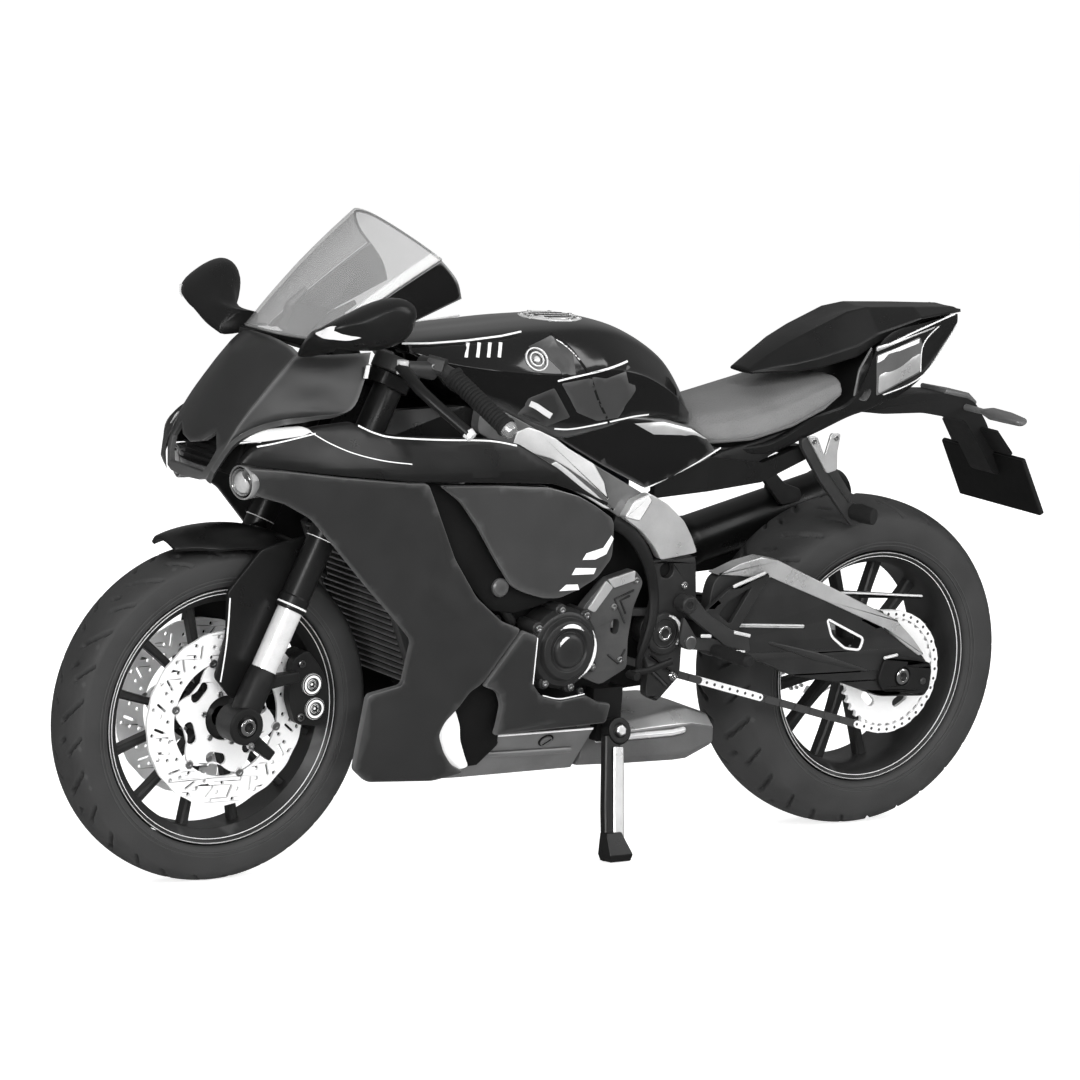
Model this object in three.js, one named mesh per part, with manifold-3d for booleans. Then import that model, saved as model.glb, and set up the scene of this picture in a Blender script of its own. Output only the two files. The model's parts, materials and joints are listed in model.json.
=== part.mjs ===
// A 1:8 radio-controlled sport motorcycle on its side stand, in millimetres.
//
// The bike is drawn upright in its own frame: +X points forward, +Y to the rider's left, +Z up, and
// the origin lies on the ground straight below the rear axle. The last step leans the whole bike onto
// its side stand and moves the origin to the bottom centre of its bounding box.
import * as THREE from "three";
import { mergeVertices } from "three/addons/utils/BufferGeometryUtils.js";
import Module from "manifold-3d";

const wasm = await Module();
wasm.setup();

// ---- driving dimensions ---------------------------------------------------------------------------
const DEG = Math.PI / 180;
const LEAN = 6.2 * DEG; // towards the rider's left, onto the stand
const RAKE = 24 * DEG;
const WHEELBASE = 176.5;
const TRAIL = 12.7;
const FRONT_RADIUS = 37.6;
const REAR_RADIUS = 39.8;
const FORK_HALF = 13; // from the centre plane to a fork leg
const PIVOT = [69.6, 53.6]; // swingarm pivot, x and z
const DRIVE = [81.5, 53.4]; // drive sprocket shaft, x and z
const CHAIN_Y = 16; // middle of the chain run
const WALL = 1.4; // moulded body panels
const GAP = 0.3; // between pieces that touch
const FINE = 32; // segments round a wheel

const REAR_AXLE = [0, REAR_RADIUS];
const FRONT_AXLE = [WHEELBASE, FRONT_RADIUS];

// ---- materials ------------------------------------------------------------------------------------
const finish = (color, roughness, metalness = 0) => new THREE.MeshStandardMaterial({ color, roughness, metalness });
const MATT = finish(0x222324, 0.6);
const GLOSS = finish(0x101112, 0.15);
const FRAME_BLACK = finish(0x2c2d2f, 0.45, 0.3);
const SILVER = finish(0x9fa1a3, 0.35, 0.8);
const CHROME = finish(0xe4e6e8, 0.1, 1);
const RUBBER = finish(0x1b1c1d, 0.8);
const STEEL = finish(0xd0d2d4, 0.25, 0.9);
const SEAT = finish(0x2a2b2c, 0.7);
const SMOKE = finish(0xb9bcbf, 0.1);
const CIRCUIT = finish(0x1d5a34, 0.6);
const CELL = finish(0x2f4f8f, 0.5);

// ---- solids ---------------------------------------------------------------------------------------
function solid(geometry) {
  const bare = geometry.clone();
  ["normal", "uv"].forEach((name) => bare.deleteAttribute(name));
  const merged = mergeVertices(bare, 1e-4);
  return new wasm.Manifold(
    new wasm.Mesh({
      numProp: 3,
      vertProperties: new Float32Array(merged.attributes.position.array),
      triVerts: new Uint32Array(merged.index.array),
    }),
  );
}

function geometryOf(manifold) {
  const mesh = manifold.getMesh();
  const position = new Float32Array(mesh.numVert * 3);
  for (let i = 0; i < mesh.numVert; i++) {
    position.set(mesh.vertProperties.subarray(i * mesh.numProp, i * mesh.numProp + 3), i * 3);
  }
  const geometry = new THREE.BufferGeometry();
  geometry.setAttribute("position", new THREE.BufferAttribute(position, 3));
  geometry.setIndex(new THREE.BufferAttribute(new Uint32Array(mesh.triVerts), 1));
  return geometry;
}

const join = (...parts) => parts.reduce((whole, part) => whole.add(part));
const cut = (whole, ...tools) => tools.reduce((rest, tool) => rest.subtract(tool), whole);

// A box from its lowest to its highest corner.
function block(low, high) {
  const size = low.map((value, i) => high[i] - value);
  const geometry = new THREE.BoxGeometry(...size);
  geometry.translate(...low.map((value, i) => value + size[i] / 2));
  return solid(geometry);
}

// A round bar between two points, tapering from one radius to the other.
function bar(from, to, radius, endRadius = radius, segments = 12) {
  const start = new THREE.Vector3(...from);
  const along = new THREE.Vector3(...to).sub(start);
  const geometry = new THREE.CylinderGeometry(endRadius, radius, along.length(), segments);
  geometry.translate(0, along.length() / 2, 0);
  const turn = new THREE.Quaternion().setFromUnitVectors(new THREE.Vector3(0, 1, 0), along.normalize());
  geometry.applyQuaternion(turn);
  geometry.translate(...from);
  return solid(geometry);
}

// A straight rail of rectangular section between two points, its height measured upwards.
function rail(from, to, width, height) {
  const start = new THREE.Vector3(...from);
  const along = new THREE.Vector3(...to).sub(start);
  const geometry = new THREE.BoxGeometry(along.length(), width, height);
  geometry.translate(along.length() / 2, 0, 0);
  const x = along.normalize();
  const y = new THREE.Vector3(0, 0, 1).cross(x).normalize();
  const z = x.clone().cross(y);
  geometry.applyMatrix4(new THREE.Matrix4().makeBasis(x, y, z));
  geometry.translate(...from);
  return solid(geometry);
}

// A plate: a side-view outline in x and z, standing from y = near to y = far.
function plate(outline, near, far, holes = []) {
  const shape = new THREE.Shape(outline.map(([x, z]) => new THREE.Vector2(x, z)));
  holes.forEach((hole) => shape.holes.push(new THREE.Path(hole.map(([x, z]) => new THREE.Vector2(x, z)))));
  const geometry = new THREE.ExtrudeGeometry(shape, { depth: far - near, bevelEnabled: false });
  geometry.rotateX(Math.PI / 2);
  geometry.translate(0, far, 0);
  return solid(geometry);
}

// A wheel-like solid turned about a lateral axle; the profile is [y, radius] and closes on itself.
function turned(profile, [x, z], segments = FINE) {
  const points = profile.map(([y, radius]) => new THREE.Vector2(radius, y));
  points.push(points[0].clone());
  const geometry = new THREE.LatheGeometry(points, segments);
  geometry.translate(x, 0, z);
  const made = solid(geometry);
  return made.volume() < 0 ? solid(flipped(geometry)) : made;
}

function flipped(geometry) {
  const made = geometry.clone();
  const index = made.index.array;
  for (let i = 0; i < index.length; i += 3) [index[i + 1], index[i + 2]] = [index[i + 2], index[i + 1]];
  return made;
}

// A closed skin through rings of equal length, with a flat fan on each end.
function loft(rings) {
  const count = rings[0].length;
  const position = rings.flat(2);
  const centre = (ring) => [0, 1, 2].map((axis) => ring.reduce((sum, point) => sum + point[axis], 0) / count);
  const first = rings.length * count;
  position.push(...centre(rings[0]), ...centre(rings.at(-1)));
  const index = [];
  for (let i = 0; i < rings.length - 1; i++) {
    for (let j = 0; j < count; j++) {
      const a = i * count + j;
      const b = i * count + ((j + 1) % count);
      index.push(a, b, b + count, a, b + count, a + count);
    }
  }
  const last = (rings.length - 1) * count;
  for (let j = 0; j < count; j++) {
    index.push(first, (j + 1) % count, j, first + 1, last + j, last + ((j + 1) % count));
  }
  const geometry = new THREE.BufferGeometry();
  geometry.setAttribute("position", new THREE.BufferAttribute(new Float32Array(position), 3));
  geometry.setIndex(index);
  const made = solid(geometry);
  return made.volume() < 0 ? solid(flipped(geometry)) : made;
}

// A ring at one station of a body that is the same on both sides. The half profile is [y, z] from the
// top centre round to the bottom centre.
function bothSides(x, half) {
  const left = half.map(([y, z]) => [x, y, z]);
  const right = half.slice(1, -1).reverse().map(([y, z]) => [x, -y, z]);
  return [...left, ...right];
}

// A body panel that is open underneath: the skin, less the same skin drawn in by the wall.
function openBelow(stations, wall = WALL) {
  const inner = stations.map(([x, half], i) => {
    const floor = half.at(-1)[1];
    const roof = half[0][1];
    const width = Math.max(...half.map(([y]) => y));
    const shrinkY = (width - wall) / width;
    const shrinkZ = (roof - floor - wall) / (roof - floor);
    const inset = i === 0 ? -wall : i === stations.length - 1 ? wall : 0;
    return bothSides(x + inset, half.map(([y, z]) => [y * shrinkY, floor - 1 + (z - floor) * shrinkZ]));
  });
  return cut(loft(stations.map(([x, half]) => bothSides(x, half))), loft(inner));
}

const mirrored = (manifold) => manifold.mirror([0, 1, 0]);

// Catmull-Rom through evenly treated knots, clamped at both ends.
function smooth(knots, values, at) {
  const rising = knots.at(-1) > knots[0];
  const position = knots.findIndex((knot) => (rising ? knot > at : knot < at));
  const i = position < 0 ? knots.length - 2 : Math.max(position - 1, 0);
  const t = Math.min(Math.max((at - knots[i]) / (knots[i + 1] - knots[i]), 0), 1);
  const [p0, p1, p2, p3] = [i - 1, i, i + 1, i + 2].map((k) => values[Math.min(Math.max(k, 0), values.length - 1)]);
  return 0.5 * (2 * p1 + (p2 - p0) * t + (2 * p0 - 5 * p1 + 4 * p2 - p3) * t * t + (3 * p1 - p0 - 3 * p2 + p3) * t ** 3);
}

// ---- the fork's own line --------------------------------------------------------------------------
const forkPoint = (up, forward, y) => [
  WHEELBASE - up * Math.sin(RAKE) + forward * Math.cos(RAKE),
  y,
  FRONT_RADIUS + up * Math.cos(RAKE) + forward * Math.sin(RAKE),
];
// The steering axis runs parallel to the fork, behind it.
const STEER_BACK = (TRAIL - FRONT_RADIUS * Math.tan(RAKE)) * Math.cos(RAKE);
const LOWER_CLAMP = 52;
const UPPER_CLAMP = 80;

// ---- list of nodes --------------------------------------------------------------------------------
const bike = new THREE.Group();
function add(name, manifold, material) {
  const mesh = new THREE.Mesh(geometryOf(manifold), material);
  mesh.name = name;
  bike.add(mesh);
}
function addPair(name, left, material) {
  add(`${name}_left`, left, material);
  add(`${name}_right`, mirrored(left), material);
}

// ---- wheels ---------------------------------------------------------------------------------------
function tyreProfile(radius, half, bead) {
  const shoulder = radius - half * 0.42;
  const outer = [
    [half * 0.86, bead],
    [half * 0.99, bead + 2.6],
    [half, (bead + shoulder) / 2 + 0.6],
    [half * 0.93, shoulder],
    [half * 0.62, radius - half * 0.13],
    [0, radius],
  ];
  const other = outer.slice(0, -1).reverse().map(([y, r]) => [-y, r]);
  return [...outer, ...other, [-half * 0.7, bead], [-half * 0.7, bead - 0.01], [half * 0.7, bead - 0.01]].filter(
    ([, r]) => r >= bead,
  );
}

function rim(radius, half, hubHalf, start, centre) {
  const spokes = 6;
  const barrel = turned(
    [
      [half, radius],
      [half, radius - 1.6],
      [half * 0.55, radius - 3.4],
      [-half * 0.55, radius - 3.4],
      [-half, radius - 1.6],
      [-half, radius],
      [-half * 0.8, radius],
      [-half * 0.5, radius - 1.6],
      [half * 0.5, radius - 1.6],
      [half * 0.8, radius],
    ],
    centre,
  );
  const hub = turned([[hubHalf, 5], [hubHalf, 2.3], [-hubHalf, 2.3], [-hubHalf, 5]], centre, 24);
  const arms = [];
  for (let i = 0; i < spokes; i++) {
    for (const side of [-1, 1]) {
      const angle = start + (i * 2 * Math.PI) / spokes;
      const root = angle + side * 0.25;
      const tip = angle + side * 0.16;
      const at = (a, r) => [centre[0] + r * Math.cos(a), 0, centre[1] + r * Math.sin(a)];
      arms.push(rail(at(root, 4), at(tip, radius - 2.6), 3, 2.4));
    }
  }
  return join(barrel, hub, ...arms);
}

function disc(outer, inner, y, thickness, centre, carrier, carrierY) {
  const near = y - Math.sign(y) * thickness;
  const ring = turned([[y, outer], [y, inner], [near, inner], [near, outer]], centre);
  const bell = turned(
    [[y, inner + 0.6], [y, carrier - 1], [carrierY, carrier - 1], [carrierY, carrier],
      [near, carrier], [near, inner + 0.6]],
    centre, 16,
  );
  return join(ring, bell);
}

const FRONT_HALF = 7.2;
const REAR_HALF = 11.6;
const FRONT_RIM = 28.6;
const REAR_RIM = 27.8;
add("front_tyre", turned(tyreProfile(FRONT_RADIUS, FRONT_HALF, FRONT_RIM + GAP), FRONT_AXLE), RUBBER);
add("front_rim", rim(FRONT_RIM, 6, 5.2, 58 * DEG, FRONT_AXLE), FRAME_BLACK);
const frontDisc = disc(19.8, 13, 7.2, 0.8, FRONT_AXLE, 8.5, 5.5);
addPair("front_disc", frontDisc, STEEL);
add("rear_tyre", turned(tyreProfile(REAR_RADIUS, REAR_HALF, REAR_RIM + GAP), REAR_AXLE), RUBBER);
add("rear_rim", rim(REAR_RIM, 10, 9.8, 90 * DEG, REAR_AXLE), FRAME_BLACK);
add("rear_sprocket", disc(13.4, 9.5, CHAIN_Y + 0.6, 1.2, REAR_AXLE, 5.6, 10.2), STEEL);
add("rear_disc", mirrored(disc(12.6, 8, 13.8, 0.8, REAR_AXLE, 5.6, 10.2)), STEEL);

// ---- front end ------------------------------------------------------------------------------------
const TUBE = 3.4;
const SLIDER = 2.5;
const tubeLow = 27;
const tubeHigh = 85.5;
const forkTube = cut(
  bar(forkPoint(tubeLow, 0, FORK_HALF), forkPoint(tubeHigh, 0, FORK_HALF), TUBE),
  bar(forkPoint(tubeLow - 1, 0, FORK_HALF), forkPoint(tubeLow + 24, 0, FORK_HALF), SLIDER + 0.3),
);
addPair("fork_tube", forkTube, FRAME_BLACK);

// Each fork foot holds the slider, the axle boss and the lugs of its brake caliper.
const footBlock = bar(forkPoint(-1, 0, FORK_HALF), forkPoint(13, 0, FORK_HALF), 3, 3.2);
const axleBoss = bar([WHEELBASE, FORK_HALF - 3.2, FRONT_RADIUS], [WHEELBASE, FORK_HALF + 3.4, FRONT_RADIUS], 4.3);
const caliperLugs = join(
  rail(forkPoint(9, -1, FORK_HALF), forkPoint(15, -9, FORK_HALF), 2.4, 3),
  rail(forkPoint(-2, -2, FORK_HALF), forkPoint(-4, -11, FORK_HALF), 2.4, 3),
);
const axleBore = bar([WHEELBASE, 6, FRONT_RADIUS], [WHEELBASE, 20, FRONT_RADIUS], 2.2);
const slider = bar(forkPoint(12, 0, FORK_HALF), forkPoint(tubeLow + 12, 0, FORK_HALF), SLIDER);
addPair("fork_slider", cut(join(footBlock, axleBoss, caliperLugs, slider), axleBore), CHROME);
add("front_axle", bar([WHEELBASE, -17.2, FRONT_RADIUS], [WHEELBASE, 17.2, FRONT_RADIUS], 1.9), STEEL);

// The caliper straddles the rim of the disc behind the fork leg.
const caliperOutline = [
  [163.4, 41.6], [162.6, 51], [158.6, 53.2], [154.6, 48.4], [152.6, 43.6], [152.3, 37.4], [154.4, 34.8], [161.4, 35.6],
];
const discRoom = turned([[7.7, 20.6], [7.7, 3], [5.9, 3], [5.9, 20.6]], FRONT_AXLE);
const forkRoom = bar(forkPoint(-6, 0, FORK_HALF), forkPoint(60, 0, FORK_HALF), TUBE + 0.4);
addPair("front_caliper", cut(plate(caliperOutline, 4.9, 11.2), discRoom), GLOSS);

// Mudguard: an arch over the tyre with a blade down each fork leg.
const guard = (() => {
  const inner = FRONT_RADIUS + 1.6;
  const arch = turned(
    [[8.6, inner - 3.4], [9.6, inner - 3.2], [9.3, inner + 0.4], [0, inner + 2], [-9.3, inner + 0.4], [-9.6, inner - 3.2],
      [-8.6, inner - 3.4], [-8.3, inner - 0.4], [0, inner + 1], [8.3, inner - 0.4]],
    FRONT_AXLE,
  );
  const sector = plate(
    [[193.5, 75.4], [196, 90], [140, 90], [147, 66], [160, 62], [172, 70]],
    -12, 12,
  );
  const bladeOutline = [
    [171, 75.4], [172.6, 73], [178.6, 65.8], [179.2, 56], [180.6, 45], [175.2, 42], [169.4, 52], [163, 68], [159, 79],
  ];
  const blade = plate(bladeOutline, 8.6, 9.9);
  const whole = join(arch.intersect(sector), blade, mirrored(blade));
  return cut(whole, forkRoom, mirrored(forkRoom));
})();
add("front_mudguard", guard, MATT);

// Steering: two clamps on one stem, gripping both fork tubes.
const clamp = (up, thickness, reach) => {
  const axisBack = STEER_BACK;
  const outline = [
    [4.6, -16.8], [4.6, 16.8], [-3, 16.8], [axisBack - reach, 5], [axisBack - reach, -5], [-3, -16.8],
  ];
  const shape = new THREE.Shape(outline.map(([forward, y]) => new THREE.Vector2(forward, y)));
  const geometry = new THREE.ExtrudeGeometry(shape, { depth: thickness, bevelEnabled: false });
  geometry.rotateY(-RAKE);
  geometry.translate(...forkPoint(up, 0, 0));
  return solid(geometry);
};
const forkHole = bar(forkPoint(40, 0, FORK_HALF), forkPoint(95, 0, FORK_HALF), TUBE + GAP);
const stem = bar(forkPoint(LOWER_CLAMP + 1, STEER_BACK, 0), forkPoint(UPPER_CLAMP + 1, STEER_BACK, 0), 2.2);
add(
  "steering_stem",
  cut(join(clamp(LOWER_CLAMP, 4, 5), clamp(UPPER_CLAMP, 3, 4.5), stem), forkHole, mirrored(forkHole)),
  FRAME_BLACK,
);

// Clip-on bar: a ring round the fork tube, the bar, its grip and the lever perch.
const BAR_IN = [140.5, 15, 117.4];
const GRIP_IN = [136, 26, 115.4];
const GRIP_OUT = [130.2, 40, 106];
const barUp = 84;
const clipRing = cut(
  bar(forkPoint(barUp - 1, 0, FORK_HALF), forkPoint(barUp + 3.4, 0, FORK_HALF), TUBE + 2.4),
  bar(forkPoint(barUp - 4, 0, FORK_HALF), forkPoint(barUp + 9, 0, FORK_HALF), TUBE + GAP),
);
const LEVER_PIVOT = [149.2, 23.4, 117.2];
const clipOn = cut(
  join(
    clipRing,
    bar([138.6, 17.6, 116.9], GRIP_IN, 1.7),
    bar(GRIP_IN, GRIP_OUT, 2.2, 2.2),
    bar([138.6, 22.4, 115.8], [145.6, 23.2, 116.8], 1.9, 1.7, 10),
  ),
  bar(forkPoint(barUp - 4, 0, FORK_HALF), forkPoint(barUp + 9, 0, FORK_HALF), TUBE + GAP),
);
addPair("clip_on", clipOn, RUBBER);
const lever = join(
  bar([147.2, 23.4, 115.6], [147.2, 23.4, 118.4], 1.2, 1.2, 10),
  rail([147.6, 23.2, 117], [146.5, 31, 112.6], 1.7, 1.9),
  rail([146.7, 30.4, 113], [139.8, 39.2, 105.2], 1.7, 1.9),
  bar([139.9, 39, 105.4], [139.2, 40, 104.5], 1.3, 1.3, 10),
);
addPair("hand_lever", lever, GLOSS);

// ---- frame and engine -----------------------------------------------------------------------------
const beamOutline = [
  [122, 108.5], [109, 102.4], [91, 93.2], [78, 86.6], [74, 84.4], [70, 78], [76.5, 75], [84.6, 81.6], [97, 87.4], [116, 97.6],
  [123, 101],
];
const pivotPlateOutline = [
  [82.6, 85], [76.1, 86.4], [66, 79.5], [61.6, 72.3], [60.6, 60.6], [61, 55], [63.6, 49], [65, 39.8], [71, 36.6],
  [75.6, 43], [77, 52.8], [74, 60.4], [72, 67], [76.5, 75],
];
const pivotHole = bar([PIVOT[0], 10, PIVOT[1]], [PIVOT[0], 24, PIVOT[1]], 2.2);
const spar = join(plate(beamOutline, 14.4, 17.8), plate(pivotPlateOutline, 17.4, 20.2));
addPair("frame_spar", cut(spar, pivotHole), FRAME_BLACK);

const headstock = (() => {
  const tube = bar(forkPoint(LOWER_CLAMP + 4.6, STEER_BACK, 0), forkPoint(UPPER_CLAMP - 0.6, STEER_BACK, 0), 4.6);
  const wing = loft([
    [[146, 2.9, 95], [147, 4.5, 95], [142, 4.5, 104], [141, 2.9, 104]],
    [[127, 11.6, 96], [124, 14.1, 96], [124, 14.1, 106.4], [127, 11.6, 106.4]],
    [[112, 11.6, 92], [112, 14.1, 92], [112, 14.1, 102], [112, 11.6, 102]],
  ]);
  const bore = bar(forkPoint(LOWER_CLAMP - 2, STEER_BACK, 0), forkPoint(UPPER_CLAMP + 6, STEER_BACK, 0), 2.6);
  return cut(join(tube, wing, mirrored(wing)), bore);
})();
add("headstock", headstock, FRAME_BLACK);

const crankcase = plate(
  [[126, 46], [120, 62], [128, 76], [118, 88], [104, 84], [98, 68], [88, 66], [80, 62], [77.6, 50], [80, 40], [90, 35.4],
    [118, 35.4]],
  -14.6, 14.6,
);
const clutchCover = mirrored(turned([[22.4, 7.6], [22.8, 0], [14, 0], [14, 9.6], [20.5, 9.6]], [98, 51.8], 20));
const standLug = join(block([78, 13, 36], [86, 17.6, 41]), block([78, 14.8, 28.6], [84.4, 17.6, 38]));
const driveBore = bar([DRIVE[0], 6, DRIVE[1]], [DRIVE[0], 15, DRIVE[1]], 1.8, 1.8, 12);
const motorBay = block([100, -30, 41.6], [116, 12, 57.6]);
const servoBay = block([106, -7.2, 62], [140, 7.2, 95]);
add("engine_case", cut(join(crankcase, clutchCover, standLug), motorBay, servoBay, driveBore), FRAME_BLACK);
const generatorCover = turned([[24.2, 7], [24.6, 0], [15, 0], [15, 9.4], [21.5, 9.4]], [98, 51.8], 24);
const sprocketCoverOutline = [
  [92.4, 61.6], [87, 67.1], [79.4, 69], [76.6, 66], [79.2, 60], [80, 52.8], [79.6, 46], [87, 42.4], [93, 45], [98, 52],
];
add("left_engine_cover", join(generatorCover, plate(sprocketCoverOutline, 18.3, 21.4)), GLOSS);

// ---- radio gear and drive -------------------------------------------------------------------------
add("drive_motor", bar([108, -14, 49.6], [108, 11.6, 49.6], 7.4, 7.4, 24), STEEL);
add("drive_sprocket", join(
  turned([[CHAIN_Y + 0.6, 4.1], [CHAIN_Y + 0.6, 0], [CHAIN_Y - 0.6, 0], [CHAIN_Y - 0.6, 4.1]], DRIVE, 24),
  bar([DRIVE[0], 7, DRIVE[1]], [DRIVE[0], 17.2, DRIVE[1]], 1.4, 1.4, 12),
), STEEL);
add("battery_pack", block([74, -8.5, 72], [96.5, 8.5, 98]), CELL);
add("steering_servo", block([112, -6, 64], [126.6, 6, 86]), GLOSS);
add("receiver_board", block([84, -9, 100.5], [108, 9, 104]), CIRCUIT);

// ---- cooling and exhaust --------------------------------------------------------------------------
const radiatorOutline = [[133.4, 42.8], [147.4, 76.8], [144.4, 78], [130.4, 44]];
add("radiator", plate(radiatorOutline, -15.6, 15.6), FRAME_BLACK);
const bellySkin = loft([
  bothSides(121, [[0, 24.6], [15.4, 24.6], [17, 24.2], [10, 20.8], [0, 20.4]]),
  bothSides(116.6, [[0, 32.4], [17.6, 32.4], [19.2, 32.4], [11, 21], [0, 20.6]]),
  bothSides(86.4, [[0, 32.4], [17.6, 32.4], [19.2, 32.4], [11, 21.2], [0, 20.8]]),
]);
const bellyRoom = loft([
  bothSides(119.4, [[0, 26], [13.6, 26], [14.6, 25], [9.4, 22.6], [0, 22.4]]),
  bothSides(115.6, [[0, 34], [17.8, 34], [17.5, 32.4], [9.4, 22.8], [0, 22.6]]),
  bothSides(85, [[0, 34], [17.8, 34], [17.5, 32.4], [9.4, 22.8], [0, 22.6]]),
]);
add("belly_pan", cut(bellySkin, bellyRoom), SILVER);
add("exhaust_box", loft([
  bothSides(85.8, [[0, 31], [11.4, 31], [13.4, 29.6], [13.6, 23.4], [12, 21.6], [0, 21.4]]),
  bothSides(70.5, [[0, 31.4], [11.4, 31.4], [13.8, 29.6], [14, 23.2], [12, 21.2], [0, 21]]),
  bothSides(55.3, [[0, 33.4], [10.6, 33.4], [13.4, 30], [13.6, 23], [11.6, 20.8], [0, 20.8]]),
  bothSides(46, [[0, 31], [8.6, 31], [11.6, 28.4], [11.8, 24.6], [10, 23.4], [0, 23.4]]),
]), SILVER);
const silencer = (spare) => join(
  bar([40, -18.8, 64.8], [-6, -18.8, 76.8], 5.2 + spare, 5 + spare, 20),
  bar([-6, -18.8, 76.8], [-10, -18.8, 77.8], 5 + spare, 3.6 + spare, 20),
  bar([44, -22.6, 52], [40, -19.4, 65.2], 2.4 + spare, 3.4 + spare),
  bar([54, -22.4, 38], [44, -22.6, 52.2], 2.4 + spare),
  bar([60, -15.4, 27], [54, -22.4, 38.4], 2.4 + spare),
);
add("silencer", cut(silencer(0), block([44, -14.4, 18], [88, 14.4, 36])), MATT);

// ---- swingarm -------------------------------------------------------------------------------------
const leftArm = plate(
  [[57.4, 62.6], [46.9, 71.3], [41, 70.5], [31.7, 65.4], [13, 56.1], [1.6, 48.3], [-7, 44], [-9.6, 41], [-8.8, 34],
    [6, 35], [17.2, 39], [32.3, 41.5], [43, 46], [50.7, 47.2], [58, 47.6]],
  17.6, 21.4,
  [
    [[53.4, 60.6], [45.4, 67], [47.6, 58.6], [51.6, 56.4]],
    [[42.2, 65.6], [44.6, 57.6], [31.6, 54.6]],
    [[23, 54.7], [12.2, 49.3], [13.5, 46.5], [18.1, 47.9], [22, 51.3]],
  ],
);
const rightArm = plate(
  [[58, 55.4], [44, 55.6], [30, 53.6], [10.4, 49], [-1, 46.4], [-8, 43.2], [-9.6, 40.8], [-8.8, 34], [3.7, 34.5],
    [14.6, 37], [29.7, 40], [40.4, 44.4], [48.1, 46.6], [58, 47.6]],
  -18.4, -15,
);
const armBridge = join(
  block([44.4, -18.2, 48.2], [57.4, 21.2, 55.6]),
  bar([PIVOT[0], -16.6, PIVOT[1]], [PIVOT[0], 16.6, PIVOT[1]], 4, 4, 16),
  bar([PIVOT[0], -21.2, PIVOT[1]], [PIVOT[0], 21.2, PIVOT[1]], 1.9),
  block([50, -11.4, 50.4], [PIVOT[0], 10.6, 55.4]),
);
const rearBore = bar([0, -24, REAR_RADIUS], [0, 24, REAR_RADIUS], 2.2);
add("swingarm", cut(join(leftArm, rightArm, armBridge), rearBore), FRAME_BLACK);
add("rear_axle", bar([0, -19.8, REAR_RADIUS], [0, 22.6, REAR_RADIUS], 1.9), STEEL);

// Chain: one band round both sprockets, drawn round the outside of their teeth.
const chainBand = (() => {
  const wrap = (big, small) => {
    const outline = [];
    const reach = Math.hypot(DRIVE[0] - REAR_AXLE[0], DRIVE[1] - REAR_AXLE[1]);
    const tilt = Math.atan2(DRIVE[1] - REAR_AXLE[1], DRIVE[0] - REAR_AXLE[0]);
    const open = Math.acos((big - small) / reach);
    for (let i = 0; i <= 16; i++) {
      const a = tilt + open + (i * (2 * Math.PI - 2 * open)) / 16;
      outline.push([REAR_AXLE[0] + big * Math.cos(a), REAR_AXLE[1] + big * Math.sin(a)]);
    }
    for (let i = 0; i <= 8; i++) {
      const a = tilt - open + (i * 2 * open) / 8;
      outline.push([DRIVE[0] + small * Math.cos(a), DRIVE[1] + small * Math.sin(a)]);
    }
    return outline;
  };
  return plate(wrap(15.4, 6.6), CHAIN_Y - 0.9, CHAIN_Y + 0.9, [wrap(14, 5.2)]);
})();
add("drive_chain", chainBand, STEEL);

// Suspension strut: a body fixed to the frame, and a rod and spring that ride on the swingarm bridge.
const SHOCK_TOP = [62.4, 80];
const SHOCK_FOOT = [54.6, 57];
const shockAt = (t) => [
  SHOCK_FOOT[0] + (SHOCK_TOP[0] - SHOCK_FOOT[0]) * t, 0, SHOCK_FOOT[1] + (SHOCK_TOP[1] - SHOCK_FOOT[1]) * t,
];
add("shock_body", cut(bar(shockAt(0.46), shockAt(1), 3.2, 3.2, 20), bar(shockAt(0.4), shockAt(0.8), 2.5, 2.5, 16)), SILVER);
add("shock_rod", join(bar(shockAt(0), shockAt(0.6), 1.1, 1.1, 12), bar(shockAt(0), shockAt(0.08), 4.4, 4.4, 20)), CHROME);
add("shock_spring", coil(shockAt(0.12), shockAt(0.42), 3.4, 0.6, 3.5), STEEL);

// A coil between two points.
function coil(from, to, radius, wire, turns) {
  const start = new THREE.Vector3(...from);
  const along = new THREE.Vector3(...to).sub(start);
  const length = along.length();
  const turn = new THREE.Quaternion().setFromUnitVectors(new THREE.Vector3(0, 1, 0), along.clone().normalize());
  const points = [];
  for (let i = 0; i <= turns * 8; i++) {
    const a = (i / 8) * 2 * Math.PI;
    const point = new THREE.Vector3(radius * Math.cos(a), (length * i) / (turns * 8), radius * Math.sin(a));
    points.push(point.applyQuaternion(turn).add(start));
  }
  const circle = new THREE.Shape();
  circle.absarc(0, 0, wire, 0, 2 * Math.PI);
  const path = new THREE.CatmullRomCurve3(points);
  const geometry = new THREE.ExtrudeGeometry(circle, { extrudePath: path, steps: turns * 8, curveSegments: 3 });
  return solid(geometry);
}

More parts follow.
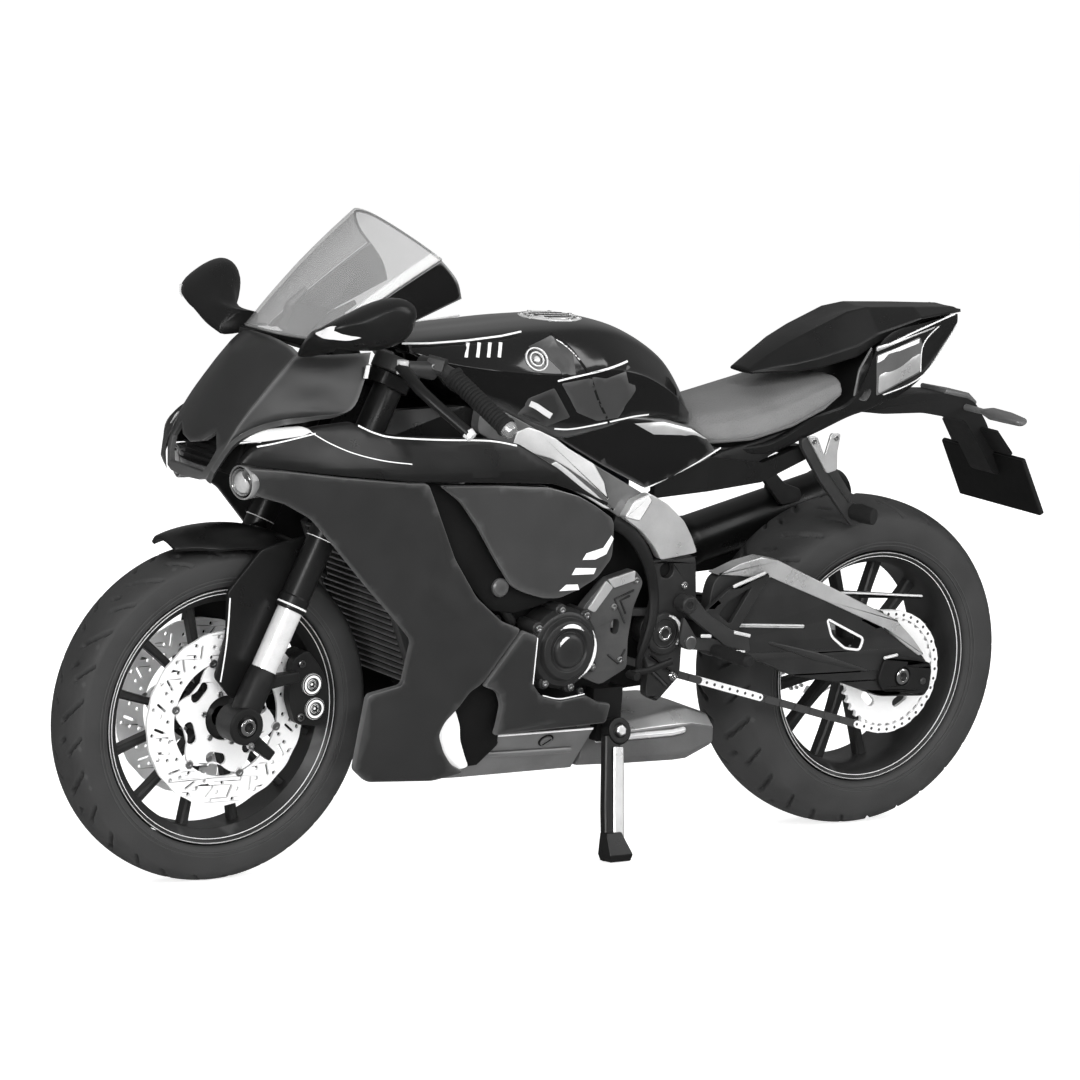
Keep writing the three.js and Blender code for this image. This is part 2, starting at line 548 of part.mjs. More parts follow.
// ---- body -----------------------------------------------------------------------------------------
// Half width of the left fairing's outer face over its side view.
const FAIR_X = [190, 175, 160, 145, 130, 110, 85];
const FAIR_Z = [106, 98, 92, 80, 65, 50, 35, 20];
const FAIR_Y = [
  [8.6, 15.4, 19.8, 22.2, 23, 22.6, 19],
  [10.4, 17.6, 22, 24.8, 25.2, 24.8, 20.4],
  [11.4, 19, 23.8, 26.2, 26.4, 25.8, 21.2],
  [11.4, 18, 22, 24.6, 25.8, 25.6, 21.6],
  [12, 17, 20.2, 23.2, 25.8, 25.8, 22.6],
  [12, 15, 18.8, 21.2, 24.6, 25.6, 23],
  [12, 15, 18.2, 20, 21.8, 24, 21.8],
  [10, 13, 15, 16, 17.2, 19.8, 19.2],
];
const fairingHalf = (x, z) => smooth(FAIR_Z, FAIR_Y.map((row) => smooth(FAIR_X, row, x)), z);

// A sheet of constant wall over a height field, trimmed by a side-view outline.
function sidePanel(outline, half, wall, stepsX, stepsZ) {
  const xs = outline.map(([x]) => x);
  const zs = outline.map(([, z]) => z);
  const [x0, x1, z0, z1] = [Math.min(...xs) - 1, Math.max(...xs) + 1, Math.min(...zs) - 1, Math.max(...zs) + 1];
  const rings = [];
  for (let i = 0; i <= stepsX; i++) {
    const x = x0 + ((x1 - x0) * i) / stepsX;
    const outer = [];
    const inner = [];
    for (let j = 0; j <= stepsZ; j++) {
      const z = z0 + ((z1 - z0) * j) / stepsZ;
      outer.push([x, half(x, z), z]);
      inner.push([x, half(x, z) - wall, z]);
    }
    rings.push([...outer, ...inner.reverse()]);
  }
  return gridLoft(rings, stepsZ + 1).intersect(plate(outline, -5, 45));
}

// Like loft, but its ends are ladders of quads, which stay right where a ring is bent.
function gridLoft(rings, rows) {
  const count = rings[0].length;
  const index = [];
  for (let i = 0; i < rings.length - 1; i++) {
    for (let j = 0; j < count; j++) {
      const a = i * count + j;
      const b = i * count + ((j + 1) % count);
      index.push(a, b, b + count, a, b + count, a + count);
    }
  }
  const last = (rings.length - 1) * count;
  for (let j = 0; j < rows - 1; j++) {
    const [a, b, c, d] = [j, j + 1, count - 2 - j, count - 1 - j];
    index.push(a, c, b, a, d, c, last + a, last + b, last + c, last + a, last + c, last + d);
  }
  const geometry = new THREE.BufferGeometry();
  geometry.setAttribute("position", new THREE.BufferAttribute(new Float32Array(rings.flat(2)), 3));
  geometry.setIndex(index);
  const made = solid(geometry);
  return made.volume() < 0 ? solid(flipped(geometry)) : made;
}

const fairingOutline = [
  [182, 95.2], [179.6, 98.4], [176.2, 100.6], [171, 102.6], [164.8, 103.9], [157.6, 104.8], [153.7, 103.2], [147.8, 102], [122.9, 100.7], [116, 99.4], [105, 93.6],
  [97, 88.6], [88, 84], [97, 87.2], [106.7, 90.2], [139.7, 91.8], [136.9, 85.6], [131.3, 74.2], [125.3, 65.6], [118.2, 59.9],
  [108, 55.9], [108, 44.8], [105.4, 42], [99.8, 40.4], [92, 41], [88, 39], [84, 38.6], [84.6, 33.6], [116.4, 33.2],
  [122.6, 23.6], [128.6, 21.7], [145, 22.4], [149.4, 26], [148, 44], [140.6, 46], [139.4, 56.1], [144, 60.8], [151, 67.8],
  [160.7, 78.2], [165.9, 83.7], [172, 87], [178, 88.6], [181, 92.4],
];
addPair("side_fairing", sidePanel(fairingOutline, fairingHalf, WALL, 11, 9), MATT);
const innerOutline = [
  [138.6, 91], [106.7, 89.4], [97, 86.6], [91.4, 84], [85, 80.6], [85.2, 71.6], [89.8, 67.2], [100.4, 63.2], [106, 63.8],
  [112.7, 66], [117.2, 71.9], [126.1, 82.4], [132, 88],
];
addPair("inner_panel", sidePanel(innerOutline, (x, z) => fairingHalf(x, z) - 1.9, 1.1, 6, 4), GLOSS);

// A thin skin through rings of equal length. Each ring runs from the centre line to the left edge.
function skin(halves, wall, steps = 1) {
  const rings = halves.map((half) => [
    ...half.slice(1).reverse().map(([x, y, z]) => new THREE.Vector3(x, -y, z)),
    ...half.map((point) => new THREE.Vector3(...point)),
  ]);
  const at = (i, j) => rings[Math.min(Math.max(i, 0), rings.length - 1)][Math.min(Math.max(j, 0), rings[0].length - 1)];
  const inner = rings.map((ring, i) => ring.map((point, j) => {
    const down = at(i + steps, j).clone().sub(at(i - steps, j));
    const across = at(i, j + steps).clone().sub(at(i, j - steps));
    return point.clone().addScaledVector(down.cross(across).normalize(), -wall);
  }));
  return gridLoft(rings.map((ring, i) => [...ring, ...inner[i].reverse()].map((point) => point.toArray())), rings[0].length);
}

// From the foot of the screen forward and down to the chin.
const noseRings = [
  [[171, 0, 122], [169.8, 7, 121], [167.6, 13.2, 118.6], [159.6, 15.4, 118.8], [151.4, 17, 119.4]],
  [[175, 0, 118.5], [174.2, 6.8, 117.2], [171.6, 13.3, 114.6], [162.4, 16.2, 113], [153.6, 18.4, 113]],
  [[178, 0, 114], [177.2, 6.8, 113], [175.3, 13.1, 110.4], [166.4, 17, 108.6], [157.6, 19.8, 106.8]],
  [[180.6, 0, 109.5], [180, 6.6, 108.8], [178.2, 12.9, 106.8], [171.6, 16, 106.2], [165, 18.6, 106]],
  [[182.8, 0, 105], [182.4, 6.4, 104.6], [180.9, 12.5, 103], [176.6, 14.8, 104], [172, 17, 105.2]],
  [[184.4, 0, 101.4], [184.1, 6.2, 101], [183.1, 12, 99], [181.4, 13.8, 101], [178.8, 15.6, 103.4]],
  [[185.6, 0, 97.6], [185.3, 6, 97.4], [184.8, 11.2, 95.6], [184.4, 12.4, 97.6], [183.6, 13.6, 99.8]],
  [[187, 0, 91.4], [186.8, 5.4, 91.2], [185.9, 8.6, 90.8], [186.1, 9.6, 92], [186.3, 10.8, 93.6]],
];
const intake = (() => {
  const outline = [[-7.2, 100.4], [0, 98.6], [7.2, 100.4], [9, 97], [7.4, 92.8], [-7.4, 92.8], [-9, 97]];
  const shape = new THREE.Shape(outline.map(([y, z]) => new THREE.Vector2(y, z)));
  const geometry = new THREE.ExtrudeGeometry(shape, { depth: 20, bevelEnabled: false });
  geometry.rotateX(Math.PI / 2);
  geometry.rotateZ(Math.PI / 2);
  geometry.translate(175, 0, 0);
  return solid(geometry);
})();
add("nose_cowl", cut(skin(noseRings, WALL), intake), MATT);

// Screen: sweeps up and back from the nose to its trailing edge.
const screenFoot = [
  [171, 0, 122.6], [170.2, 4, 122.4], [168, 7.4, 122], [164.6, 10.2, 121.6], [160.4, 12.2, 121.2], [155.4, 13.6, 121],
  [150, 14.4, 121],
];
const screenTail = [
  [145.3, 0, 148], [144.4, 4.2, 147.4], [141.5, 8.6, 145.2], [137.6, 12.6, 142.2], [133.6, 15, 139.2], [129.6, 15.8, 134.8],
  [128, 15.8, 130.6],
];
const screenRings = [0, 0.25, 0.5, 0.75, 1].map((u) => screenFoot.map((foot, i) => {
  const bulge = Math.sin(Math.PI * u) * (1 - i / 6);
  return [
    foot[0] + (screenTail[i][0] - foot[0]) * u + bulge * 0.8,
    foot[1] + (screenTail[i][1] - foot[1]) * u,
    foot[2] + (screenTail[i][2] - foot[2]) * u + bulge * 0.8,
  ];
}));
add("windscreen", skin(screenRings, -0.9), SMOKE);

// Mirror: an arm sweeping out and back from the nose to a wedge-shaped head.
addPair("mirror", loft([
  [[169.6, 16.6, 118.8], [161, 17.4, 119.6], [160.6, 17, 123.4], [166.6, 16, 123.8]],
  [[171, 21, 120.8], [163, 21, 121.4], [162.4, 21, 124.6], [168.4, 21, 125.2]],
  [[171.6, 26.4, 123], [159.6, 25, 122.4], [158.6, 25, 128.4], [168.8, 26.4, 128.4]],
  [[168.6, 31.6, 125], [154.2, 34.6, 123.6], [156.4, 36.4, 132.2], [170, 31.4, 129.4]],
]), GLOSS);

add("tank_cover", openBelow([
  [137, [[0, 120.4], [6, 120.2], [9, 119.4], [8, 117.8], [0, 117.4]]],
  [128, [[0, 121.6], [8, 121.4], [14, 117.6], [12.4, 112], [0, 111.6]]],
  [115, [[0, 122.8], [9, 122.4], [17.4, 114.6], [16, 106], [0, 105.2]]],
  [101, [[0, 124], [10, 123.2], [18.2, 112.6], [16.2, 100.4], [0, 99.6]]],
  [88, [[0, 124.2], [10.4, 123], [18.4, 112], [15.6, 101.2], [0, 100.4]]],
  [76, [[0, 121.4], [9.6, 119.8], [16.8, 110], [14.4, 102.4], [0, 101.8]]],
  [66, [[0, 115], [8.6, 113.4], [13.8, 107], [12.4, 101.6], [0, 101]]],
  [59.5, [[0, 106], [7.4, 104.8], [10.4, 102.4], [9.8, 100.4], [0, 100]]],
]), GLOSS);
add("rider_seat", loft([
  bothSides(60, [[0, 99.6], [6.4, 99], [8.6, 97.4], [8, 95.6], [0, 95.4]]),
  bothSides(55, [[0, 104], [8.6, 103], [12.4, 99.6], [11.6, 96], [0, 95.6]]),
  bothSides(45, [[0, 105.4], [10.4, 104.8], [15, 101.4], [14.2, 97], [0, 96.4]]),
  bothSides(34, [[0, 107.8], [10.6, 107.2], [15, 104], [14, 99.6], [0, 99]]),
  bothSides(24, [[0, 110.2], [9.6, 109.8], [13.8, 107.6], [13, 103.4], [0, 102.8]]),
  bothSides(17.4, [[0, 110.6], [8.6, 110.2], [12, 108.8], [11.6, 106.4], [0, 106]]),
]), SEAT);
add("pillion_pad", loft([
  bothSides(37.4, [[0, 112], [4, 111.4], [5, 110.6], [4.4, 109.8], [0, 109.6]]),
  bothSides(30, [[0, 116.6], [7, 115.4], [9, 113], [8.4, 110.8], [0, 110.8]]),
  bothSides(18, [[0, 122.4], [8.6, 120.8], [10.6, 115.4], [9.8, 112.6], [0, 112.4]]),
  bothSides(6, [[0, 125.2], [8.6, 123.6], [10.2, 121], [9.4, 117.4], [0, 117.4]]),
  bothSides(-21, [[0, 125.4], [5.6, 125], [6.4, 124.6], [5.6, 124.3], [0, 124.2]]),
]), SEAT);
const tail = loft([
  bothSides(57, [[0, 94.8], [9, 94.8], [12.8, 94.6], [12.8, 94], [0, 93.8]]),
  bothSides(40, [[0, 95.8], [9, 95.8], [14.6, 95.4], [13.4, 92.6], [0, 92.4]]),
  bothSides(26, [[0, 101], [9, 101.2], [13.8, 101.2], [12.6, 96.6], [0, 95.6]]),
  bothSides(14, [[0, 105.2], [9, 105.4], [12.8, 105.4], [11.4, 100.6], [0, 99.4]]),
  bothSides(6, [[0, 116.8], [9.2, 116.8], [12.2, 118.6], [11.6, 103.4], [0, 101.6]]),
  bothSides(-8, [[0, 119], [7.6, 119.8], [9.9, 122], [9.6, 109], [0, 106.6]]),
  bothSides(-20, [[0, 123.4], [4.6, 123.6], [7.2, 124], [7, 121.4], [0, 120.8]]),
]);
add("tail_cowl", tail, MATT);
const seatRail = loft([
  [[73, 15.4, 84.4], [73, 17.2, 84.4], [73, 17.2, 87.4], [73, 15.4, 87.4]],
  [[57.6, 14.6, 85.4], [57.6, 16.8, 85.4], [57.6, 16.8, 93.4], [57.6, 14.6, 93.4]],
  [[40, 11.6, 86.4], [40, 13.6, 86.4], [40, 13.6, 91], [40, 11.6, 91]],
  [[26, 10, 91.2], [26, 12, 91.2], [26, 12, 94.8], [26, 10, 94.8]],
]);
add("seat_rails", join(
  seatRail, mirrored(seatRail), block([26.2, -11, 91.8], [30, 11, 94.2]), block([44, -13, 87.6], [62, 13, 89.6]),
  block([60, -15.6, 86.4], [64, 15.6, 90]),
), FRAME_BLACK);

// Tail-light arm with the indicators and the blank number plate.
const holderOutline = [
  [6, 100.6], [-2, 103.2], [-12, 104.8], [-24, 104.4], [-30, 102], [-34, 97], [-38.4, 89], [-40.6, 84], [-37.6, 84],
  [-33.4, 90], [-27, 97.6], [-14, 99.8], [-2, 99.8],
];
const numberPlate = [[-37.4, 90], [-36.6, 89.2], [-44, 75.6], [-45.2, 76.2]];
add("plate_holder", join(
  plate(holderOutline, -4.5, 4.5), plate(numberPlate, -15.5, 15.5), block([-30, -26, 99.6], [-24.6, 26, 101.8]),
), MATT);

// ---- stands and pegs ------------------------------------------------------------------------------
const hangerOutline = [[65.6, 48.6], [66.4, 62], [53, 67.4], [43.6, 67], [48, 60], [48.6, 47.4]];
const riderPeg = join(
  plate(hangerOutline, 21.9, 23.6, [[[52.6, 63.6], [63, 59.4], [63.4, 56.6], [54.6, 52.4], [51.4, 56]]]),
  bar([64, 20.5, 51.6], [64, 22.4, 51.6], 1.8, 1.8, 12),
  bar([64.4, 20.5, 60.4], [64.4, 22.4, 60.4], 1.8, 1.8, 12),
  bar([57, 23, 49.6], [55, 34.6, 49], 1.7, 1.9, 12),
);
add("rider_peg_left", riderPeg, FRAME_BLACK);
add("rider_peg_right", cut(mirrored(riderPeg), silencer(0.5)), FRAME_BLACK);
const passengerPeg = join(
  plate([[28.6, 95.4], [25.2, 95.6], [22.6, 92], [20.6, 96.2], [17.4, 98], [17.6, 88.4], [11.4, 76], [15, 76], [28.6, 93.4]], 12.8, 14.6),
  bar([14, 13, 78], [13.4, 21, 77.4], 1.5, 1.5, 12),
);
add("passenger_peg_left", passengerPeg, SILVER);
add("passenger_peg_right", cut(mirrored(passengerPeg), silencer(0.5)), SILVER);

// The side stand swings on a bolt square to its leg; the pad under its foot is level when deployed.
const STAND = [81, 20.4, 31.4];
const FOOT = [85.4, 29];
const foot = block([FOOT[0] - 5.6, FOOT[1] - 2.4, 0], [FOOT[0] + 3.4, FOOT[1] + 2.6, 1.8]).rotate([LEAN / DEG, 0, 0]);
const boltSlope = Math.atan2(FOOT[1] - STAND[1], STAND[2] - 3);
const along = (distance) => [
  STAND[0], STAND[1] + distance * Math.cos(boltSlope), STAND[2] + distance * Math.sin(boltSlope),
];
add("side_stand", join(
  bar(along(-1.6), along(1.6), 3.2, 3.2, 20), bar(STAND, [FOOT[0] - 0.6, FOOT[1] - 0.7, 4.6], 2, 1.9, 10), foot,
), FRAME_BLACK);

// ---- lean onto the stand and centre ---------------------------------------------------------------
bike.rotation.x = -LEAN;
bike.updateMatrixWorld(true);
const bounds = new THREE.Box3().setFromObject(bike, true);
bike.position.set(-(bounds.min.x + bounds.max.x) / 2, -(bounds.min.y + bounds.max.y) / 2, -bounds.min.z);

export default bike;
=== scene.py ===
"""The looks of a 1:8 radio-controlled sport motorcycle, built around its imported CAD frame.

Pieces are drawn in the upright bike's own millimetres: +X forward, +Y to the rider's left, +Z up, with
the origin on the ground under the rear axle. BIKE carries them into the row frame, in metres.
"""
import json
import math
from math import atan2, cos, hypot, pi, radians, sin

import bmesh
import bpy
from mathutils import Matrix, Vector
from mathutils.geometry import delaunay_2d_cdt, tessellate_polygon


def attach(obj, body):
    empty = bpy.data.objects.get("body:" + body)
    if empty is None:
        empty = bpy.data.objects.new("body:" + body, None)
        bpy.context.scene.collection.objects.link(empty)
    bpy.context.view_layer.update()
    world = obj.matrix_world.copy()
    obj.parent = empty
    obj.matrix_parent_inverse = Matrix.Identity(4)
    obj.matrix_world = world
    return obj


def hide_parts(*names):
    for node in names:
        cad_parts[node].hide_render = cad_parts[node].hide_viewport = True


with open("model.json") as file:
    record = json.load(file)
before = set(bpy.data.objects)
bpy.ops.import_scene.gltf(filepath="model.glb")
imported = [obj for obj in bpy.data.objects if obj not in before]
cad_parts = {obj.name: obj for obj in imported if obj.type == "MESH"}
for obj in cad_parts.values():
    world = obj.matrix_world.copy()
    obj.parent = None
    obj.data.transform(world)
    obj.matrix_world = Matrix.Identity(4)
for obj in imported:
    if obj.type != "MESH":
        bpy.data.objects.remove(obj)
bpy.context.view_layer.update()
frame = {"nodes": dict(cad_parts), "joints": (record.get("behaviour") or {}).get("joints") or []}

# ---- from bike millimetres to the row frame ----------------------------------------------------------
JOINTS = {joint["name"]: joint for joint in frame["joints"]}
REAR_AXLE = (0.0, 39.8)  # (x, z), and so are the next four
FRONT_AXLE = (176.5, 37.6)
DRIVE_SHAFT = (81.5, 53.4)
PIVOT = (69.6, 53.6)
CRANK = (98, 51.8)
FRONT_TYRE_RADIUS = 37.6
LEAN = -atan2(-JOINTS["rear_wheel_spin"]["axis"][2], JOINTS["rear_wheel_spin"]["axis"][1])
TURN = Matrix.Rotation(LEAN, 4, "X") @ Matrix.Scale(0.001, 4)
SHIFT = Vector(JOINTS["rear_wheel_spin"]["pos_m"]) - TURN @ Vector((REAR_AXLE[0], 0, REAR_AXLE[1]))
BIKE = Matrix.Translation(SHIFT) @ TURN
RAKE = radians(24)
TUBE_Y = 13  # of the left fork tube
SIDES = ((1, "left"), (-1, "right"))


def fork(up, forward, y):
    """A point beside the fork: up its slope from the axle, forward square to it, and y to the side."""
    return (FRONT_AXLE[0] - up * sin(RAKE) + forward * cos(RAKE),
            y, FRONT_AXLE[1] + up * cos(RAKE) + forward * sin(RAKE))


# ---- materials ---------------------------------------------------------------------------------------
def material(name, colour, rough, metal=0.0, coat=0.0, grain=2600, bump=0.12, tone=0.14, edge_wear_and_highlight=0.0,
             edge_wear_and_highlight_tone=0.5, leather=0, alpha=1.0, rings=None, aniso=0.0, spec=0.5, glow=0.0):
    """A procedural finish: blotches of tone, a fine grain in the bump, and paler edges that are partly
    scuffing and partly a painted edge highlight.
    """
    mat = bpy.data.materials.new(name)
    mat.use_nodes = True
    nodes, link = mat.node_tree.nodes, mat.node_tree.links.new
    shader = nodes["Principled BSDF"]
    colour = (colour,) * 3 if isinstance(colour, float) else colour
    for socket, value in (("Metallic", metal), ("Coat Weight", coat), ("Coat Roughness", 0.06),
                          ("Alpha", alpha), ("Anisotropic", aniso), ("Specular IOR Level", spec),
                          ("Emission Strength", glow)):
        shader.inputs[socket].default_value = value
    where = nodes.new("ShaderNodeTexCoord").outputs["Object"]

    def noise(scale, detail):
        made = nodes.new("ShaderNodeTexNoise")
        made.inputs["Scale"].default_value = scale
        made.inputs["Detail"].default_value = detail
        link(where, made.inputs["Vector"])
        return made.outputs["Fac"]

    def spread(value, low, high, start=0.3, end=0.7):
        made = nodes.new("ShaderNodeMapRange")
        for socket, number in (("From Min", start), ("From Max", end), ("To Min", low), ("To Max", high)):
            made.inputs[socket].default_value = number
        link(value, made.inputs["Value"])
        return made.outputs["Result"]

    def blend(factor, a, b):
        made = nodes.new("ShaderNodeMix")
        made.data_type = "RGBA"
        link(factor, made.inputs["Factor"])
        for socket, value in ((made.inputs["A"], a), (made.inputs["B"], b)):
            if isinstance(value, tuple):
                socket.default_value = (*value, 1)
            else:
                link(value, socket)
        return made.outputs["Result"]

    blotch = noise(140, 4.0)
    fine = noise(grain, 2.0)
    shade = blend(spread(blotch, 0, 1), tuple(c * (1 - tone) for c in colour),
                  tuple(min(1, c * (1 + tone)) for c in colour))
    shade = blend(spread(fine, 0, 0.25), shade, tuple(c * (1 + 1.6 * tone) for c in colour))
    # Pointiness pales the sharp edges: partly scuffing, partly a painted edge highlight.
    if edge_wear_and_highlight:
        edge = nodes.new("ShaderNodeNewGeometry").outputs["Pointiness"]
        edge_scuff_and_highlight = nodes.new("ShaderNodeMath")
        edge_scuff_and_highlight.operation = "MULTIPLY"
        link(spread(edge, 0, edge_wear_and_highlight, 0.515, 0.6), edge_scuff_and_highlight.inputs[0])
        link(spread(blotch, 0.6, 1.0), edge_scuff_and_highlight.inputs[1])
        shade = blend(edge_scuff_and_highlight.outputs[0], shade, (edge_wear_and_highlight_tone,) * 3)
    link(shade, shader.inputs["Base Color"])
    link(spread(blotch, rough * 0.86, min(1, rough * 1.18)), shader.inputs["Roughness"])
    relief = fine
    if leather:
        cells = nodes.new("ShaderNodeTexVoronoi")
        cells.inputs["Scale"].default_value = leather
        cells.feature = "DISTANCE_TO_EDGE"
        link(where, cells.inputs["Vector"])
        relief = spread(cells.outputs["Distance"], 0, 1, 0, 0.25)
    if rings:
        flat = nodes.new("ShaderNodeMapping")
        flat.vector_type = "TEXTURE"
        flat.inputs["Location"].default_value = BIKE @ Vector((rings[0], 0, rings[1]))
        flat.inputs["Rotation"].default_value = (LEAN, 0, 0)
        flat.inputs["Scale"].default_value = (1, 1e4, 1)
        link(where, flat.inputs["Vector"])
        reach = nodes.new("ShaderNodeVectorMath")
        reach.operation = "LENGTH"
        link(flat.outputs["Vector"], reach.inputs[0])
        lines = nodes.new("ShaderNodeTexNoise")
        lines.noise_dimensions = "1D"
        lines.inputs["Scale"].default_value = 5200
        link(reach.outputs["Value"], lines.inputs["W"])
        relief = lines.outputs["Fac"]
    push = nodes.new("ShaderNodeBump")
    push.inputs["Strength"].default_value = bump
    push.inputs["Distance"].default_value = 0.0001
    link(relief, push.inputs["Height"])
    link(push.outputs["Normal"], shader.inputs["Normal"])
    return mat


SATIN = material("satin_black_paint", 0.020, 0.34, spec=0.36, bump=0.06, tone=0.07, edge_wear_and_highlight=0.5, edge_wear_and_highlight_tone=0.3)
GLOSS = material("gloss_black_paint", 0.004, 0.10, coat=0.85, spec=0.2, bump=0.004, tone=0.06, edge_wear_and_highlight=0.6,
                 edge_wear_and_highlight_tone=0.5, grain=900)
# Lighter grey satin: the inner panels' paint, and the painted reflections on the tank's facets.
SHEEN = material("grey_satin_paint_and_painted_reflection", 0.036, 0.32, spec=0.4, bump=0.06, tone=0.07, edge_wear_and_highlight=0.5, edge_wear_and_highlight_tone=0.3)
MOULDED = material("moulded_black_plastic", 0.010, 0.46, spec=0.25, bump=0.3, tone=0.10)
INK = material("deep_satin_black", 0.008, 0.30, spec=0.28, bump=0.05, tone=0.07)
POWDER = material("black_powder_coat", 0.016, 0.38, spec=0.4, bump=0.2, grain=1700, tone=0.10, edge_wear_and_highlight=0.3,
                  edge_wear_and_highlight_tone=0.12)
CAST = material("cast_grey_metal", 0.075, 0.38, metal=0.5, bump=0.3, grain=1900, edge_wear_and_highlight=0.4, edge_wear_and_highlight_tone=0.4)
SILVER = material("silver_paint", 0.66, 0.30, metal=0.7, coat=0.2, bump=0.12, edge_wear_and_highlight=0.7, edge_wear_and_highlight_tone=0.9)
ALLOY = material("bright_alloy", 0.74, 0.26, metal=0.9, bump=0.1, edge_wear_and_highlight=0.6, edge_wear_and_highlight_tone=0.95)
CHROME = material("chrome_plate", 0.86, 0.08, metal=1.0, bump=0.02, tone=0.04, grain=700)
STEEL = material("brushed_steel", 0.60, 0.30, metal=1.0, bump=0.12, grain=3400, edge_wear_and_highlight=0.5, edge_wear_and_highlight_tone=0.9)
DISC_F = material("front_disc_steel", 0.93, 0.34, metal=0.25, rings=FRONT_AXLE, bump=0.3, aniso=0.5,
                  tone=0.05)
DISC_R = material("rear_disc_steel", 0.93, 0.34, metal=0.25, rings=REAR_AXLE, bump=0.3, aniso=0.5,
                  tone=0.05)
RUBBER = material("tyre_rubber", 0.030, 0.60, spec=0.4, bump=0.4, grain=3000, tone=0.12, edge_wear_and_highlight=0.4,
                  edge_wear_and_highlight_tone=0.08)
GRIP = material("grip_rubber", 0.012, 0.70, spec=0.3, bump=0.8, grain=3400)
VINYL = material("seat_vinyl", 0.15, 0.42, bump=0.5, leather=1500, tone=0.1, edge_wear_and_highlight=0.4, edge_wear_and_highlight_tone=0.2)
LENS = material("clear_lens", 0.62, 0.06, bump=0.02, tone=0.06, grain=500, coat=0.5)
# Pale finish for printed marks, and for the pale lines that paint highlights along edges and crests.
LINE = material("pale_print_and_painted_edge_highlight", 0.80, 0.28, bump=0.05, tone=0.04)
GREY = material("grey_panel", 0.15, 0.34, metal=0.5, bump=0.12, edge_wear_and_highlight=0.25, edge_wear_and_highlight_tone=0.4)
# Deepest black: for black parts, and for dark sheets that paint the shade inside openings and recesses.
DARK = material("deep_black_and_painted_recess_shade", 0.005, 0.6, spec=0.2, bump=0.3)
BOARD = material("circuit_board_green", (0.02, 0.16, 0.06), 0.45, bump=0.3, tone=0.3)
CELL = material("battery_wrap_navy", (0.007, 0.009, 0.016), 0.32, bump=0.15, coat=0.3)
SCREEN = material("clear_screen", 0.34, 0.05, bump=0.015, tone=0.03, grain=400, coat=0.4, alpha=0.46)
POLISHED = material("polished_bright_metal", 0.90, 0.22, metal=0.45, bump=0.05, grain=3400, edge_wear_and_highlight=0.4,
                    edge_wear_and_highlight_tone=0.95)
MESH = material("lamp_glass", 0.32, 0.08, bump=0.3, tone=0.35, grain=900, coat=0.6)


# ---- shapes ------------------------------------------------------------------------------------------
def rounded(points, radius=1.5, steps=4):
    """A closed outline with its corners turned into short curves."""
    made = []
    for i, corner in enumerate(points):
        here = Vector(corner)
        before, after = Vector(points[i - 1]) - here, Vector(points[(i + 1) % len(points)]) - here
        start = here + before * min(0.45, radius / max(before.length, 1e-6))
        end = here + after * min(0.45, radius / max(after.length, 1e-6))
        for k in range(steps + 1):
            t = k / steps
            made.append(tuple(start * (1 - t) ** 2 + here * 2 * t * (1 - t) + end * t * t))
    return made


def polar(centre, radius, angle):
    return centre[0] + radius * cos(angle), centre[1] + radius * sin(angle)


def angles(count, start=0.0):
    """Even steps round a full turn."""
    return [start + 2 * pi * i / count for i in range(count)]


def circle(x, z, radius, count=24):
    return [polar((x, z), radius, a) for a in angles(count)]


def slot_hole(x, z, length, radius, angle, count=6):
    """A stadium-shaped outline."""
    made = []
    for end in (0, 1):
        for i in range(count + 1):
            a = angle + pi * end - pi / 2 + pi * i / count
            shift = (length / 2) * (1 if end == 0 else -1)
            made.append((x + shift * cos(angle) + radius * cos(a),
                         z + shift * sin(angle) + radius * sin(a)))
    return made


def area(loop):
    return sum(a[0] * b[1] - b[0] * a[1] for a, b in zip(loop, loop[1:] + loop[:1])) / 2


def oriented(outline, holes):
    """The outline runs one way and its holes the other, so that inset moves each into the sheet."""
    loops = [list(outline), *[list(hole) for hole in holes]]
    return [loop if (area(loop) > 0) == (k == 0) else loop[::-1] for k, loop in enumerate(loops)]


def inset(loop, distance):
    """The outline drawn in, to the left of its direction of travel."""
    made = []
    for i, point in enumerate(loop):
        here = Vector(point)
        a, b = here - Vector(loop[i - 1]), Vector(loop[(i + 1) % len(loop)]) - here
        a, b = (v.normalized() if v.length > 1e-6 else Vector((0, 0)) for v in (a, b))
        normal = Vector((-a.y - b.y, a.x + b.x))
        normal = normal.normalized() if normal.length > 1e-6 else Vector((-a.y, a.x))
        cosine = max(0.5, normal.dot(Vector((-a.y, a.x))))
        made.append(tuple(here + normal * distance / cosine))
    return made


def inside(loop, x, z):
    odd = False
    for (ax, az), (bx, bz) in zip(loop, loop[1:] + loop[:1]):
        if (az > z) != (bz > z) and x < ax + (z - az) * (bx - ax) / (bz - az):
            odd = not odd
    return odd


def within(loops, x, z):
    """Inside the first loop and outside the others."""
    return inside(loops[0], x, z) and not any(inside(hole, x, z) for hole in loops[1:])


def spline(knots, values, at):
    """Catmull-Rom through the knots, held at both ends."""
    rising = knots[-1] > knots[0]
    past = [i for i, knot in enumerate(knots) if (knot > at if rising else knot < at)]
    i = max(past[0] - 1, 0) if past else len(knots) - 2
    t = min(max((at - knots[i]) / (knots[i + 1] - knots[i]), 0), 1)
    p = [values[min(max(k, 0), len(values) - 1)] for k in (i - 1, i, i + 1, i + 2)]
    return 0.5 * (2 * p[1] + (p[2] - p[0]) * t + (2 * p[0] - 5 * p[1] + 4 * p[2] - p[3]) * t * t
                  + (3 * p[1] - p[0] - 3 * p[2] + p[3]) * t ** 3)


def linked(name, data):
    """An object of the scene."""
    made = bpy.data.objects.new(name, data)
    bpy.context.scene.collection.objects.link(made)
    return made


